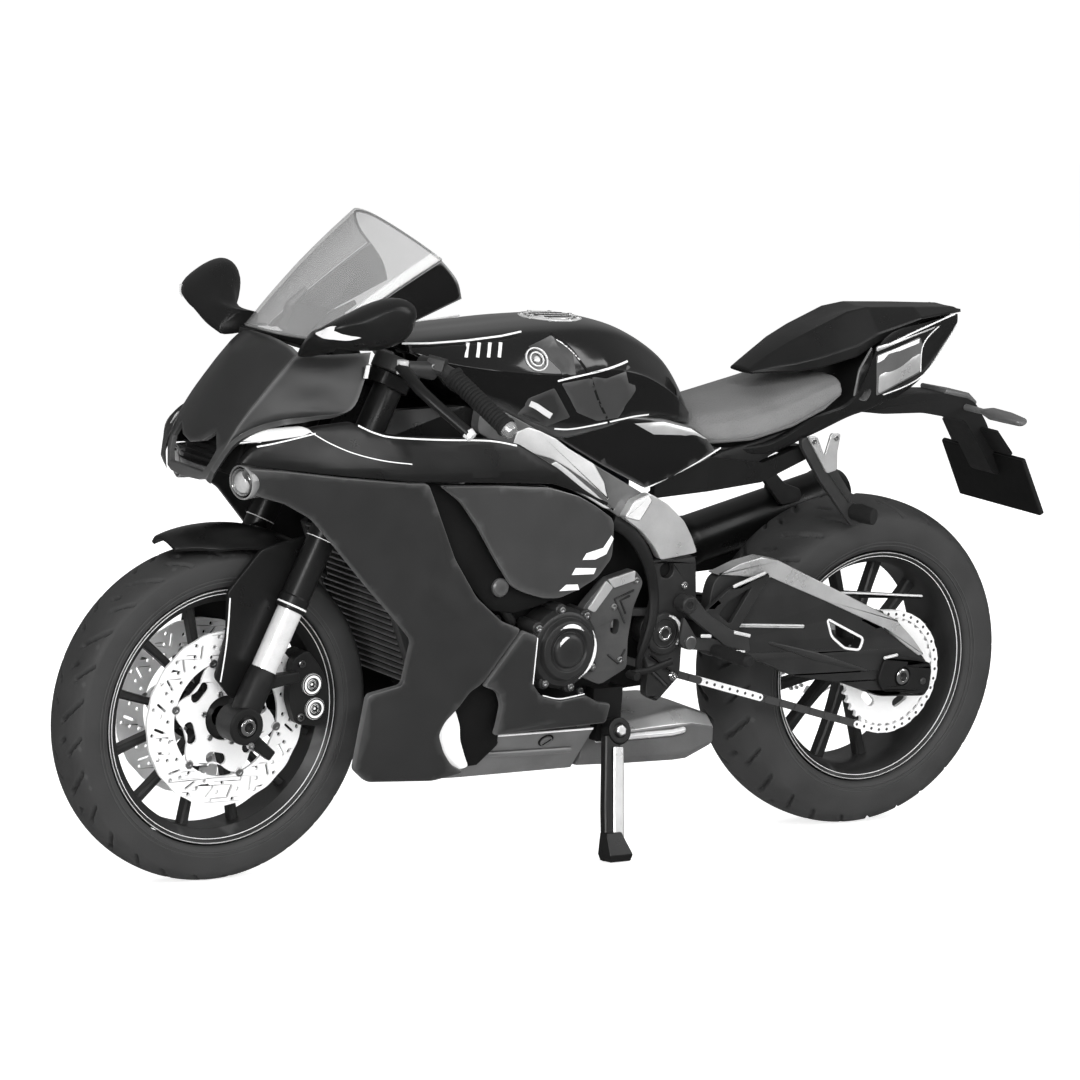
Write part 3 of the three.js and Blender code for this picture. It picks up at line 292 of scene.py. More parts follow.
def soften(piece, width, sharp=30, segments=2, material=-1):
    """Rounds the sharp edges of an object, with a width in millimetres."""
    modifier = piece.modifiers.new("edges", "BEVEL")
    modifier.width = width * 0.001
    modifier.segments = segments
    modifier.limit_method = "ANGLE"
    modifier.angle_limit = radians(sharp)
    modifier.use_clamp_overlap = False
    modifier.harden_normals = True
    modifier.material = material


class Part:
    """One piece: shapes gathered in bike millimetres, then set down on its body.

    In each method, m is the finish of the shape, as its place in the piece's own list.
    """

    def __init__(self, name, body, *finishes, side=1):
        self.name, self.body, self.finishes, self.side = name, body, finishes, side
        self.bm = bmesh.new()

    def add(self, points, faces, m=0):
        verts = [self.bm.verts.new(p) for p in points]
        for face in faces:
            try:
                self.bm.faces.new([verts[i] for i in face]).material_index = m
            except ValueError:
                pass
        return verts

    def rings(self, rings, m=0, closed=False):
        """A skin through rings of equal length, capped at both ends or closed into a loop."""
        count = len(rings[0])
        faces = [(i * count + j, i * count + (j + 1) % count, (i + 1) * count + (j + 1) % count,
                  (i + 1) * count + j)
                 for i in range(len(rings) - 1) for j in range(count)]
        last = (len(rings) - 1) * count
        if closed:
            faces += [(last + j, last + (j + 1) % count, (j + 1) % count, j) for j in range(count)]
        else:
            faces += [tuple(range(count)), tuple(range(last, last + count))]
        self.add([p for ring in rings for p in ring], faces, m)

    def lathe(self, profile, axle, m=0, count=96):
        """A closed [y, radius] profile turned about a lateral axle."""
        self.rings([[(axle[0] + r * cos(a), y, axle[1] + r * sin(a)) for y, r in profile]
                    for a in angles(count)], m, closed=True)

    def knob(self, profile, x, z, m=0, count=28, side=1):
        """A turned cap on the side of the bike: [y, radius] from its foot out to its centre."""
        self.rings([[(x + max(r, 0.01) * cos(a),
                      side * y, z + max(r, 0.01) * sin(a)) for a in angles(count)]
                    for y, r in profile], m)

    def bolt(self, x, y, z, radius=1.0, height=0.7, m=0, side=1):
        """A cap bolt with a hexagon socket, standing out from y."""
        top = y + height
        rim = [(y - 0.4, radius), (top - 0.18, radius), (top, radius * 0.84)]
        rings = [[(x + r * cos(a), side * yy, z + r * sin(a)) for a in angles(12)] for yy, r in rim]
        for yy, r in ((top, radius * 0.52), (top - height * 0.6, radius * 0.5)):
            ring = []
            for a in angles(12):
                k = cos(pi / 6) / cos(((a + pi / 6) % (pi / 3)) - pi / 6)
                ring.append((x + r * k * cos(a), side * yy, z + r * k * sin(a)))
            rings.append(ring)
        self.rings(rings, m)

    def plate(self, outline, near, far, m=0, holes=()):
        """A side-view outline standing from y = near to y = far."""
        self.slab(outline, holes, lambda x, z: (x, far, z), lambda x, z: (x, near, z), m)

    def slab(self, outline, holes, top, bottom, m=0):
        """A flat outline between two faces; top and bottom carry its points to their places."""
        loops = oriented(outline, holes)
        flat = [p for loop in loops for p in loop]
        count = len(flat)
        points = [top(*p) for p in flat] + [bottom(*p) for p in flat]
        faces = []
        if holes:  # only these need triangles; a plain outline stays one face
            for a, b, c in tessellate_polygon([[Vector((x, z, 0)) for x, z in loop] for loop in loops]):
                faces += [(a, b, c), (a + count, c + count, b + count)]
        else:
            faces += [tuple(range(count)), tuple(range(2 * count - 1, count - 1, -1))]
        verts = self.add(points, faces, m)
        at = 0
        for loop in loops:
            for i in range(len(loop)):
                a, b = at + i, at + (i + 1) % len(loop)
                self.bm.faces.new((verts[a], verts[b], verts[b + count],
                                   verts[a + count])).material_index = m
            at += len(loop)

    def sweep(self, points, radius, m=0, count=12, closed=False, up=(0, 1, 0)):
        """A round or elliptical bar along a path; a radius is a number, or (across, along up), per point."""
        path = [Vector(p) for p in points]
        sizes = radius if isinstance(radius, list) else [radius] * len(path)
        rings, side = [], Vector(up)
        for i, here in enumerate(path):
            ahead = path[(i + 1) % len(path)] if closed or i < len(path) - 1 else here
            behind = path[i - 1] if closed or i else here
            along = (ahead - behind).normalized()
            side = (side - along * side.dot(along)).normalized()
            across = along.cross(side)
            wide, tall = sizes[i] if isinstance(sizes[i], tuple) else (sizes[i], sizes[i])
            rings.append([here + across * wide * cos(a) + side * tall * sin(a) for a in angles(count)])
        self.rings(rings, m, closed=closed)

    def beam(self, points, sizes, m=0, up=(0, 1, 0), chamfer=0.3):
        """A bar of chamfered rectangular section; sizes are (across, along up) per point or one for all."""
        path = [Vector(p) for p in points]
        sizes = sizes if isinstance(sizes, list) else [sizes] * len(path)
        rings, side = [], Vector(up)
        for i, here in enumerate(path):
            along = (path[min(i + 1, len(path) - 1)] - path[max(i - 1, 0)]).normalized()
            side = (side - along * side.dot(along)).normalized()
            across = along.cross(side)
            w, h = sizes[i][0] / 2, sizes[i][1] / 2
            c = min(chamfer, w * 0.6, h * 0.6)
            section = [(w, h - c), (w - c, h), (c - w, h), (-w, h - c), (-w, c - h), (c - w, -h),
                       (w - c, -h), (w, c - h)]
            rings.append([here + across * a + side * b for a, b in section])
        self.rings(rings, m)

    def panel(self, outline, height, wall=1.2, step=1.5, m=0, lip=0.4, holes=()):
        """A moulded sheet over the field y = height(x, z), with rounded edges, trimmed by an outline."""
        loops = oriented(outline, holes)
        inner = [inset(loop, lip) for loop in loops]
        points, edges = [], []
        for loop in inner:
            at = len(points)
            points += loop
            edges += [(at + i, at + (i + 1) % len(loop)) for i in range(len(loop))]
        xs, zs = zip(*inner[0])
        fringe = [inset(loop, step * 0.45) for loop in inner]
        for j in range(int((max(zs) - min(zs)) / step) + 2):
            for i in range(int((max(xs) - min(xs)) / step) + 2):
                x, z = min(xs) + (i + 0.5 * (j % 2)) * step, min(zs) + j * step
                if within(fringe, x, z):
                    points.append((x, z))
        made = delaunay_2d_cdt([Vector(p) for p in points], edges, [], 0, 1e-5)
        spots, triangles = made[0], made[2]
        front = [(p.x, height(p.x, p.y), p.y) for p in spots]
        back = [(p.x, height(p.x, p.y) - wall, p.y) for p in spots]
        faces = [tuple(tri) for tri in triangles
                 if within(inner, *(sum(spots[i][k] for i in tri) / 3 for k in (0, 1)))]
        count = len(front)
        self.add(front + back, faces + [tuple(i + count for i in reversed(tri)) for tri in faces], m)
        for loop, drawn in zip(loops, inner):
            middle = inset(loop, lip * 0.35)
            lines = [
                [(x, height(x, z), z) for x, z in drawn],
                [(x, height(x, z) - lip * 0.3, z) for x, z in middle],
                [(x, height(x, z) - lip, z) for x, z in loop],
                [(x, height(x, z) - wall, z) for x, z in loop],
                [(x, height(x, z) - wall, z) for x, z in drawn],
            ]
            n = len(loop)
            rim = [(k * n + i, k * n + (i + 1) % n, (k + 1) * n + (i + 1) % n, (k + 1) * n + i)
                   for k in range(4) for i in range(n)]
            self.add([p for line in lines for p in line], rim, m)

    def done(self, bevel=0.0, edge=-1, sharp=32, segments=2, replaces=()):
        """Welds, turns outwards, carries into the row frame and rides the body."""
        if self.side < 0:
            for v in self.bm.verts:
                v.co.y = -v.co.y
        bmesh.ops.remove_doubles(self.bm, verts=self.bm.verts, dist=2e-4)
        bmesh.ops.dissolve_degenerate(self.bm, edges=self.bm.edges, dist=1e-5)
        bmesh.ops.recalc_face_normals(self.bm, faces=self.bm.faces)
        bmesh.ops.transform(self.bm, matrix=BIKE, verts=self.bm.verts)
        mesh = bpy.data.meshes.new(self.name)
        self.bm.to_mesh(mesh)
        self.bm.free()
        for finish in self.finishes:
            mesh.materials.append(finish)
        mesh.polygons.foreach_set("use_smooth", [True] * len(mesh.polygons))
        mesh.set_sharp_from_angle(angle=radians(sharp))
        piece = linked(self.name, mesh)
        if bevel:
            soften(piece, bevel, sharp, segments, edge)
        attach(piece, self.body)
        if replaces:
            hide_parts(*replaces)


# ---- camera, light and floor -------------------------------------------------------------------------
def place_camera(target, distance, lens, azimuth, elevation, roll):
    azimuth, elevation, roll = radians(azimuth), radians(elevation), radians(roll)
    back = Vector((sin(azimuth) * cos(elevation), -cos(azimuth) * cos(elevation), sin(elevation)))
    right = Vector((cos(azimuth), sin(azimuth), 0))
    up = back.cross(right)
    tilted = right * cos(roll) + up * sin(roll)
    upright = up * cos(roll) - right * sin(roll)
    data = bpy.data.cameras.new("camera")
    data.sensor_width = 36
    data.lens = lens
    data.clip_start, data.clip_end = 0.05, 50
    camera = linked("camera", data)
    turn = Matrix((tilted, upright, back)).transposed().to_4x4()
    camera.matrix_world = Matrix.Translation(Vector(target) + back * distance) @ turn
    bpy.context.scene.camera = camera


def soft_light(name, place, aim, size, power, mirrored=True):
    """A rectangular lamp; one that is not mirrored does not show in gloss or chrome."""
    data = bpy.data.lights.new(name, "AREA")
    data.shape = "RECTANGLE"
    data.size, data.size_y = size
    data.energy = power
    light = linked(name, data)
    light.location = place
    light.rotation_euler = (Vector(aim) - Vector(place)).to_track_quat("-Z", "Y").to_euler()
    light.visible_glossy = mirrored


def studio():
    """White surroundings, as the camera sees them, around a bike lit by a sky that is darker below."""
    world = bpy.data.worlds.new("studio")
    world.use_nodes = True
    nodes, link = world.node_tree.nodes, world.node_tree.links.new
    sky = nodes["Background"]
    split = nodes.new("ShaderNodeSeparateXYZ")
    link(nodes.new("ShaderNodeTexCoord").outputs["Generated"], split.inputs[0])
    fade = nodes.new("ShaderNodeMapRange")
    for socket, number in (("From Min", -0.2), ("From Max", 0.9), ("To Min", 0.12), ("To Max", 0.34)):
        fade.inputs[socket].default_value = number
    link(split.outputs["Z"], fade.inputs["Value"])
    link(fade.outputs["Result"], sky.inputs["Strength"])
    plain = nodes.new("ShaderNodeBackground")
    plain.inputs["Strength"].default_value = 1.1
    both = nodes.new("ShaderNodeMixShader")
    link(nodes.new("ShaderNodeLightPath").outputs["Is Camera Ray"], both.inputs[0])
    link(sky.outputs[0], both.inputs[1])
    link(plain.outputs[0], both.inputs[2])
    link(both.outputs[0], nodes["World Output"].inputs["Surface"])
    for background in (sky, plain):
        background.inputs["Color"].default_value = (1, 1, 1, 1)
    bpy.context.scene.world = world
    bpy.context.scene.view_settings.view_transform = "Standard"
    soft_light("key", (0.45, 0.95, 1.0), (0, 0, 0.06), (0.8, 0.45), 8, False)
    soft_light("strip", (0.1, 1.25, 0.55), (0.03, 0, 0.08), (1.2, 0.14), 5.5)
    soft_light("side", (-0.75, 0.75, 0.55), (0, 0, 0.07), (0.3, 0.8), 3)
    soft_light("front", (0.95, 0.75, 0.35), (0.08, 0, 0.1), (0.22, 0.5), 5)
    soft_light("back", (-0.3, -0.9, 0.9), (0, 0, 0.06), (0.9, 0.5), 5, False)
    floor = bpy.data.meshes.new("floor")
    reach = 30
    floor.from_pydata([(-reach, -reach, 0), (reach, -reach, 0), (reach, reach, 0), (-reach, reach, 0)],
                      [], [(0, 1, 2, 3)])
    ground = linked("floor", floor)
    ground.location.z = -0.00005
    ground.visible_glossy = False
    floor.materials.append(material("pale_floor", 0.80, 0.75, spec=0.0, bump=0.02, tone=0.01, grain=300,
                                    glow=0.78))


place_camera((0.00188, -0.01161, 0.07113),
             distance=1.0799, lens=156.2, azimuth=145.69, elevation=4.9, roll=0.54)
studio()


# ---- wheels ------------------------------------------------------------------------------------------
def tyre(name, body, axle, radius, half, bead, node):
    """A tyre with sipes cut into its crown as real relief."""
    part = Part(name, body, RUBBER)
    shoulder = radius - half * 0.42
    outer = [(half * 0.84, bead), (half * 0.93, bead + 0.5), (half * 0.985, bead + 2.2),
             (half, (bead + shoulder) / 2 + 0.6), (half * 0.985, shoulder - 0.9)]
    steps = 26
    for i in range(steps + 1):  # the crown
        a = radians(8 + 82 * i / steps)
        outer.append((half * 0.97 * cos(a) ** 0.92 if i < steps else 0.0,
                      shoulder - 0.2 + (radius - shoulder + 0.2) * sin(a)))
    profile = outer + [(-y, r) for y, r in outer[-2::-1]] + [(-half * 0.6, bead + 0.3),
            (half * 0.6, bead + 0.3)]
    count, pitches = 560, 14
    pitch = 2 * pi / pitches

    def groove(a, y):
        depth = 0.0
        span = abs(y) / half
        turn = a + (pitch / 2 if y < 0 else 0)
        for lead, start, end, wide in ((0.0, 0.16, 0.9, 0.62), (0.46, 0.42, 0.93, 0.5),
                                       (0.72, 0.1, 0.42, 0.5)):
            if start < span < end:
                line = lead * pitch + 0.20 * (span ** 1.6)
                off = ((turn - line + pitch / 2) % pitch - pitch / 2) * radius
                fade = min(1, (span - start) / 0.06, (end - span) / 0.06)
                depth = max(depth, 0.85 * fade * max(0.0, min(1.0, (wide - abs(off)) / 0.18)))
        return depth

    rings = []
    for i in range(count):
        a = 2 * pi * i / count
        ring = []
        for y, r in profile:
            cutaway = groove(a, y) if r > shoulder - 0.5 else 0
            ring.append((axle[0] + (r - cutaway) * cos(a), y, axle[1] + (r - cutaway) * sin(a)))
        rings.append(ring)
    part.rings(rings, closed=True)
    for side in (1, -1):  # two raised bands on the sidewall
        for r in (bead + 1.5, bead + 2.3):
            y = side * half * (0.968 if r < bead + 2 else 0.985)
            part.lathe([(y - side * 0.2, r - 0.16), (y + side * 0.12, r - 0.1),
                        (y + side * 0.12, r + 0.1), (y - side * 0.2, r + 0.16)], axle, count=128)
    part.done(sharp=50, replaces=[node])


def wheel_rim(name, body, axle, radius, half, hub_half, start, spread, wide, node):
    """Barrel with bright lips, and six pairs of spokes on a hollow hub."""
    part = Part(name, body, POWDER, LINE)
    part.lathe([(half, radius), (half, radius - 0.5), (half - 0.25, radius - 0.8),
                (half - 0.9, radius - 1.5), (half * 0.62, radius - 3.1), (-half * 0.62, radius - 3.1),
                (-half + 0.9, radius - 1.5), (-half + 0.25, radius - 0.8), (-half, radius - 0.5),
                (-half, radius), (-half * 0.8, radius), (-half * 0.5, radius - 1.6),
                (half * 0.5, radius - 1.6), (half * 0.8, radius)], axle, count=120)
    for side in (1, -1):  # turned lip lines
        for r, y, thick in ((radius - 0.22, half + 0.03, 0.11), (radius - 1.12, half - 0.46, 0.08)):
            part.lathe([(side * (y - 0.2), r - thick), (side * (y + 0.06), r - thick),
                        (side * (y + 0.06), r + thick), (side * (y - 0.2), r + thick)], axle, 1, 120)
    part.lathe([(hub_half, 4.6), (hub_half, 2.4), (-hub_half, 2.4), (-hub_half, 4.6),
                (-hub_half + 1.4, 5.4), (-2, 5.8), (2, 5.8), (hub_half - 1.4, 5.4)], axle, count=48)
    for pair in range(6):
        centre = radians(start) + pair * pi / 3
        for way in (-1, 1):
            path, sizes = [], []
            for k in range(7):
                t = k / 6
                a = centre + way * (radians(spread) * (0.55 + 0.45 * t ** 0.7) * (1 - 0.08 * t))
                r = 4.6 + (radius - 6.6) * t
                path.append((axle[0] + r * cos(a), 0, axle[1] + r * sin(a)))
                sizes.append((wide * (2.0 - 0.5 * sin(pi * t)), 3.9 - 1.0 * t))
            part.beam(path, sizes, 0, chamfer=0.5)
    part.done(bevel=0.12, sharp=34, replaces=[node])


def brake_disc(name, body, axle, finish, outer, inner, face, thickness, hub_out, hub_in, side, node,
               arms=6):
    """A drilled and slotted ring on a bright spider, with a black hub."""
    part = Part(name, body, finish, POWDER, STEEL, side=side)
    holes = []
    rows, sets = 3, 20 if outer > 15 else 14
    for i in range(sets):
        a = 2 * pi * i / sets
        for k in range(rows):
            r = inner + 1.3 + (outer - inner - 2.4) * (k + 0.1) / (rows - 0.8)
            b = a + 0.105 * k * (15 / outer)
            holes.append(circle(*polar(axle, r, b), 0.46, 10))
        b = a + 0.62 * 2 * pi / sets
        r = (outer + inner) / 2 + 0.2
        holes.append(slot_hole(*polar(axle, r, b), (outer - inner) * 0.36, 0.3, b + 0.5, 4))
    edge = [polar(axle, outer - 0.1 + 0.1 * cos(sets * a), a) for a in angles(240)]
    part.plate(edge, face - thickness, face, 0, [circle(*axle, inner, 120), *holes])
    for a in angles(arms, 0.2):  # floating buttons between spider and ring
        part.knob([(face - thickness - 0.1, 1.0), (face + 0.22, 1.0), (face + 0.3, 0.75),
                   (face + 0.3, 0.45), (face + 0.1, 0.4)], *polar(axle, inner + 0.1, a), 2, 16)
    # The spider reaches out to each button and is scooped between them.
    spider = [polar(axle, inner - 1.6 + 1.5 * cos(arms * (a - 0.2)), a) for a in angles(arms * 12, 0.2)]
    windows = []
    for i in range(arms):
        a = 2 * pi * (i + 0.5) / arms + 0.2
        windows.append(slot_hole(*polar(axle, (hub_out + inner - 3.2) / 2 + 0.4, a),
                                 2.6, 1.3, a + pi / 2, 6))
    part.plate(spider, face - thickness - 0.15, face - thickness + 0.55, 0,
               [circle(*axle, 5.0, 48), *windows])
    part.lathe([(hub_in, hub_out - 1.2), (face - thickness, hub_out - 1.2), (face - thickness, hub_out),
                (hub_in, hub_out)], axle, 1, 48)
    for a in angles(arms, 0.2):
        x, z = polar(axle, hub_out - 1.9, a)
        part.bolt(x, face - thickness + 0.5, z, 0.7, 0.45, 2)
    part.done(bevel=0.07, sharp=40, segments=1, replaces=[node])


tyre("front_tyre_treaded", "front_wheel", FRONT_AXLE, FRONT_TYRE_RADIUS, 7.2, 28.9, "front_tyre")
tyre("rear_tyre_treaded", "rear_wheel", REAR_AXLE, 39.8, 11.6, 28.1, "rear_tyre")
wheel_rim("front_wheel_rim", "front_wheel", FRONT_AXLE, 28.6, 6, 5.2, 58, 17, 1.1, "front_rim")
wheel_rim("rear_wheel_rim", "rear_wheel", REAR_AXLE, 27.8, 10, 9.8, 90, 17, 1.5, "rear_rim")
for side, which in SIDES:
    brake_disc(f"front_brake_disc_{which}", "front_wheel", FRONT_AXLE, DISC_F, 19.8, 13, 7.2, 0.8, 7.6,
               5.5, side, f"front_disc_{which}")
brake_disc("rear_brake_disc", "rear_wheel", REAR_AXLE, DISC_R, 12.6, 8.4, 13.8, 0.8, 5.4, 10.2, -1,
           "rear_disc", 5)


def sprocket(name, body, axle, teeth, root, tip, near, far, holes, node, hub):
    part = Part(name, body, DISC_R, POWDER)
    outline = []
    for a in angles(teeth):
        for off, r in ((-0.5, root), (-0.28, root + 0.1), (-0.1, tip), (0.1, tip), (0.28, root + 0.1)):
            outline.append(polar(axle, r, a + off * 2 * pi / teeth))
    part.plate(outline, near, far, 0, holes)
    part.lathe(hub, axle, 1, 40)
    part.done(bevel=0.08, sharp=40, segments=1, replaces=[node])


rear_windows = [slot_hole(*polar(REAR_AXLE, 8.2, a), 2.4, 1.1, a + pi / 2)
                for a in angles(5, 0.4)]
sprocket("rear_chain_sprocket", "rear_wheel", REAR_AXLE, 36, 12.6, 13.5, 15.45, 16.55,
         [circle(*REAR_AXLE, 4.4, 32), *rear_windows],
         "rear_sprocket", [(10.2, 5.6), (16.4, 5.6), (16.4, 3), (10.2, 3)])
sprocket("drive_chain_sprocket", "drive_shaft", DRIVE_SHAFT, 11, 2.6, 3.4, 15.65, 16.35,
         [circle(*DRIVE_SHAFT, 1.1, 16)],
         "drive_sprocket", [(7, 1.4), (17.2, 1.4), (17.2, 0.5), (7, 0.5)])


def chain():
    """Roller chain: side plates and rollers in step round both sprockets."""
    big, small = 14.0, 5.0
    rise = DRIVE_SHAFT[1] - REAR_AXLE[1]
    tilt = atan2(rise, DRIVE_SHAFT[0])
    free = math.acos((big - small) / hypot(DRIVE_SHAFT[0], rise))
    route = [polar(REAR_AXLE, big, tilt + free + i * (2 * pi - 2 * free) / 60) for i in range(61)]
    route += [polar(DRIVE_SHAFT, small, tilt - free + i * 2 * free / 24) for i in range(25)]
    lengths = [hypot(b[0] - a[0], b[1] - a[1]) for a, b in zip(route, route[1:] + route[:1])]
    links = 2 * round(sum(lengths) / 2.35 / 2)
    pitch = sum(lengths) / links
    spots, at, k = [], 0.0, 0  # the pins, evenly spaced
    for i in range(links):
        while at + lengths[k] < i * pitch:
            at += lengths[k]
            k += 1
        t = (i * pitch - at) / lengths[k]
        a, b = route[k], route[(k + 1) % len(route)]
        spots.append((a[0] + (b[0] - a[0]) * t, a[1] + (b[1] - a[1]) * t))
    part = Part("roller_chain", "swingarm", DISC_R, POWDER)
    for i, (a, b) in enumerate(zip(spots, spots[1:] + spots[:1])):
        angle = atan2(b[1] - a[1], b[0] - a[0])
        middle = ((a[0] + b[0]) / 2, (a[1] + b[1]) / 2)
        outline = []
        for px, pz in slot_hole(0, 0, pitch, 0.86, 0, 5):
            pz *= 0.8 + 0.2 * min(1, abs(px) / (pitch / 2))
            outline.append((middle[0] + px * cos(angle) - pz * sin(angle),
                            middle[1] + px * sin(angle) + pz * cos(angle)))
        out = 0.88 if i % 2 else 0.66
        for side in (1, -1):
            low, high = sorted((16 + side * out, 16 + side * (out - 0.2)))
            # Links round the rear sprocket and on part of the lower run take the bright steel as a painted
            # highlight; the others are dark.
            wrapped = hypot(middle[0], middle[1] - REAR_AXLE[1]) < 14.6
            bright = wrapped or (38 < middle[0] < 57 and middle[1] < 52)
            part.plate(outline, low, high, 0 if bright else 1)
        part.sweep([(a[0], 15.1, a[1]), (a[0], 16.9, a[1])], 0.38, 1, 8, up=(1, 0, 0))
    part.done(sharp=40, replaces=["drive_chain"])


chain()


# ---- axles and front end -----------------------------------------------------------------------------
def axle_bolt(name, body, axle, far, near, node):
    """A spindle with a flanged, hollow end on the left and a nut on the right."""
    part = Part(name, body, CHROME)
    part.knob([(0, 1.85), (far - 0.9, 1.85), (far - 0.8, 1.9), (far - 0.2, 1.9), (far, 1.65), (far, 1.1),
               (far - 2.2, 1.0)], *axle, 0, 32)
    part.knob([(0, 1.85), (near - 0.5, 1.9), (near - 0.1, 1.9), (near, 1.6), (near, 0.9),
               (near - 1.4, 0.8)], *axle, 0, 6, -1)
    part.done(bevel=0.06, replaces=[node])


axle_bolt("front_axle_spindle", "fork_lower", FRONT_AXLE, 17.15, 17.15, "front_axle")
axle_bolt("rear_axle_spindle", "swingarm", REAR_AXLE, 22.5, 19.75, "rear_axle")



def along_fork(profile, forward=0.0, y=TUBE_Y):
    """A turned profile of (height up the fork, radius) as a path and its radii, for a sweep."""
    return [fork(up, forward, y) for up, _ in profile], [r for _, r in profile]


def between(start, end, profile):
    """The same for a profile of (share of the way, radius)."""
    return [start.lerp(end, t) for t, _ in profile], [r for _, r in profile]


for side, which in SIDES:
    part = Part(f"fork_outer_tube_{which}", "steering", INK, LINE, ALLOY, side=side)
    stages = [(27, 3.15), (27.3, 3.4), (30, 3.4), (30.3, 3.2), (44, 3.2), (45, 3.36), (84.6, 3.36),
              (85.3, 3.1)]
    part.sweep(*along_fork(stages), 0, 36)
    part.sweep(*along_fork([(27.9, 3.44), (28.3, 3.44)]), 1, 36)
    part.sweep(*along_fork([(43.8, 3.4), (44, 3.4)]), 1, 36)
    part.sweep(*along_fork([(84.9, 2.9), (85.9, 2.8), (86.2, 2.5), (86.2, 1.3), (85.7, 1.2)]), 2, 6)
    part.done(bevel=0.06, replaces=[f"fork_tube_{which}"])

    part = Part(f"fork_chrome_slider_{which}", "fork_lower", POLISHED, MOULDED, STEEL, side=side)
    part.sweep(*along_fork([(12, 2.85), (39, 2.85)]), 0, 36)
    part.sweep(*along_fork([(-3.6, 2.2), (-2.8, 3.0), (4, 3.3), (10, 3.25), (12.6, 3.05), (13.4, 2.6)]),
               1, 28)
    part.knob([(9.8, 4.2), (16.0, 4.2), (16.4, 3.9), (16.4, 2.5), (15.2, 2.4)], *FRONT_AXLE, 1, 36)
    for start, end, wide in (((10, -1), (14.6, -8.6), 3.2),
                             ((-1.5, -2), (-3.6, -10.6), 3.4)):  # caliper lugs
        part.beam([fork(*start, TUBE_Y), fork(*end, TUBE_Y)], [(wide, 2.4), (2.4, 2.4)], 1)
    part.bolt(FRONT_AXLE[0] - 1.2, 15.9, FRONT_AXLE[1] - 4.3, 0.8, 0.8, 2)
    part.done(bevel=0.15, replaces=[f"fork_slider_{which}"])

    # Caliper: two cheeks and a bridge over the disc, with two bright piston caps and a bolt at each end.
    part = Part(f"front_caliper_body_{which}", "fork_lower", MOULDED, LINE, STEEL, side=side)
    cheek = rounded([(163.2, 41.6), (162.8, 50.6), (159, 52.8), (155.4, 48.6), (152.9, 43.6),
                     (152.6, 37.4), (154.8, 35.2), (161, 36)], 1.6)
    part.plate(cheek, 8.5, 11.1, 0)
    part.plate(cheek, 4.95, 6.1, 0)
    part.plate(rounded([(154.6, 47.9), (152.7, 43.6), (152.4, 37.6), (155.6, 38.6), (156.2, 43),
                        (157.8, 47)], 0.8), 5, 10.6, 0)
    for x, z in ((157.6, 44.9), (156.5, 39.4)):
        part.knob([(11, 2.5), (11.5, 2.5), (11.75, 2.3), (11.75, 1.35), (11.3, 1.25)], x, z, 1, 32)
        part.bolt(x, 11.2, z, 1.15, 0.3, 1)
    for x, z in ((160.4, 49.6), (159.9, 37.6)):
        part.bolt(x, 11.05, z, 0.9, 0.6, 2)
    part.done(bevel=0.22, edge=0, replaces=[f"front_caliper_{which}"])


def clamp(part, up, thick, reach, back):
    """A triple clamp: a plate with a ring round each tube, reaching back to the steering axis."""
    outline = rounded([(4.9, -16.9), (5.2, -10), (1, -6), (1, 6), (5.2, 10), (4.9, 16.9), (-3, 17.2),
                       (-5, 11), (back - reach, 5), (back - reach, -5), (-5, -11), (-3, -17.2)], 2.2, 3)
    windows = [circle(0, y, 3.5, 28) for y in (TUBE_Y, -TUBE_Y)]
    windows += [rounded([(-2, w * 4), (-1.4, w * 8), (-5, w * 8.4), (-7, w * 4)], 1) for w in (1, -1)]
    part.slab(outline, windows, lambda f, y: fork(up + thick, f, y), lambda f, y: fork(up, f, y))


STEER_BACK = (12.7 - FRONT_AXLE[1] * math.tan(RAKE)) * cos(RAKE)  # from the tubes back to the steering axis
part = Part("triple_clamps", "steering", INK, ALLOY)
clamp(part, 52, 4, 4.5, STEER_BACK)
clamp(part, 80, 3, 4, STEER_BACK)
part.sweep(*along_fork([(50, 2.15), (82, 2.15)], STEER_BACK, 0), 0, 24)
part.sweep(*along_fork([(82, 2.9), (83.6, 2.8), (84.2, 2.4), (84.2, 1.5), (83.4, 1.4)], STEER_BACK, 0),
           1, 24)
part.done(bevel=0.18, replaces=["steering_stem"])


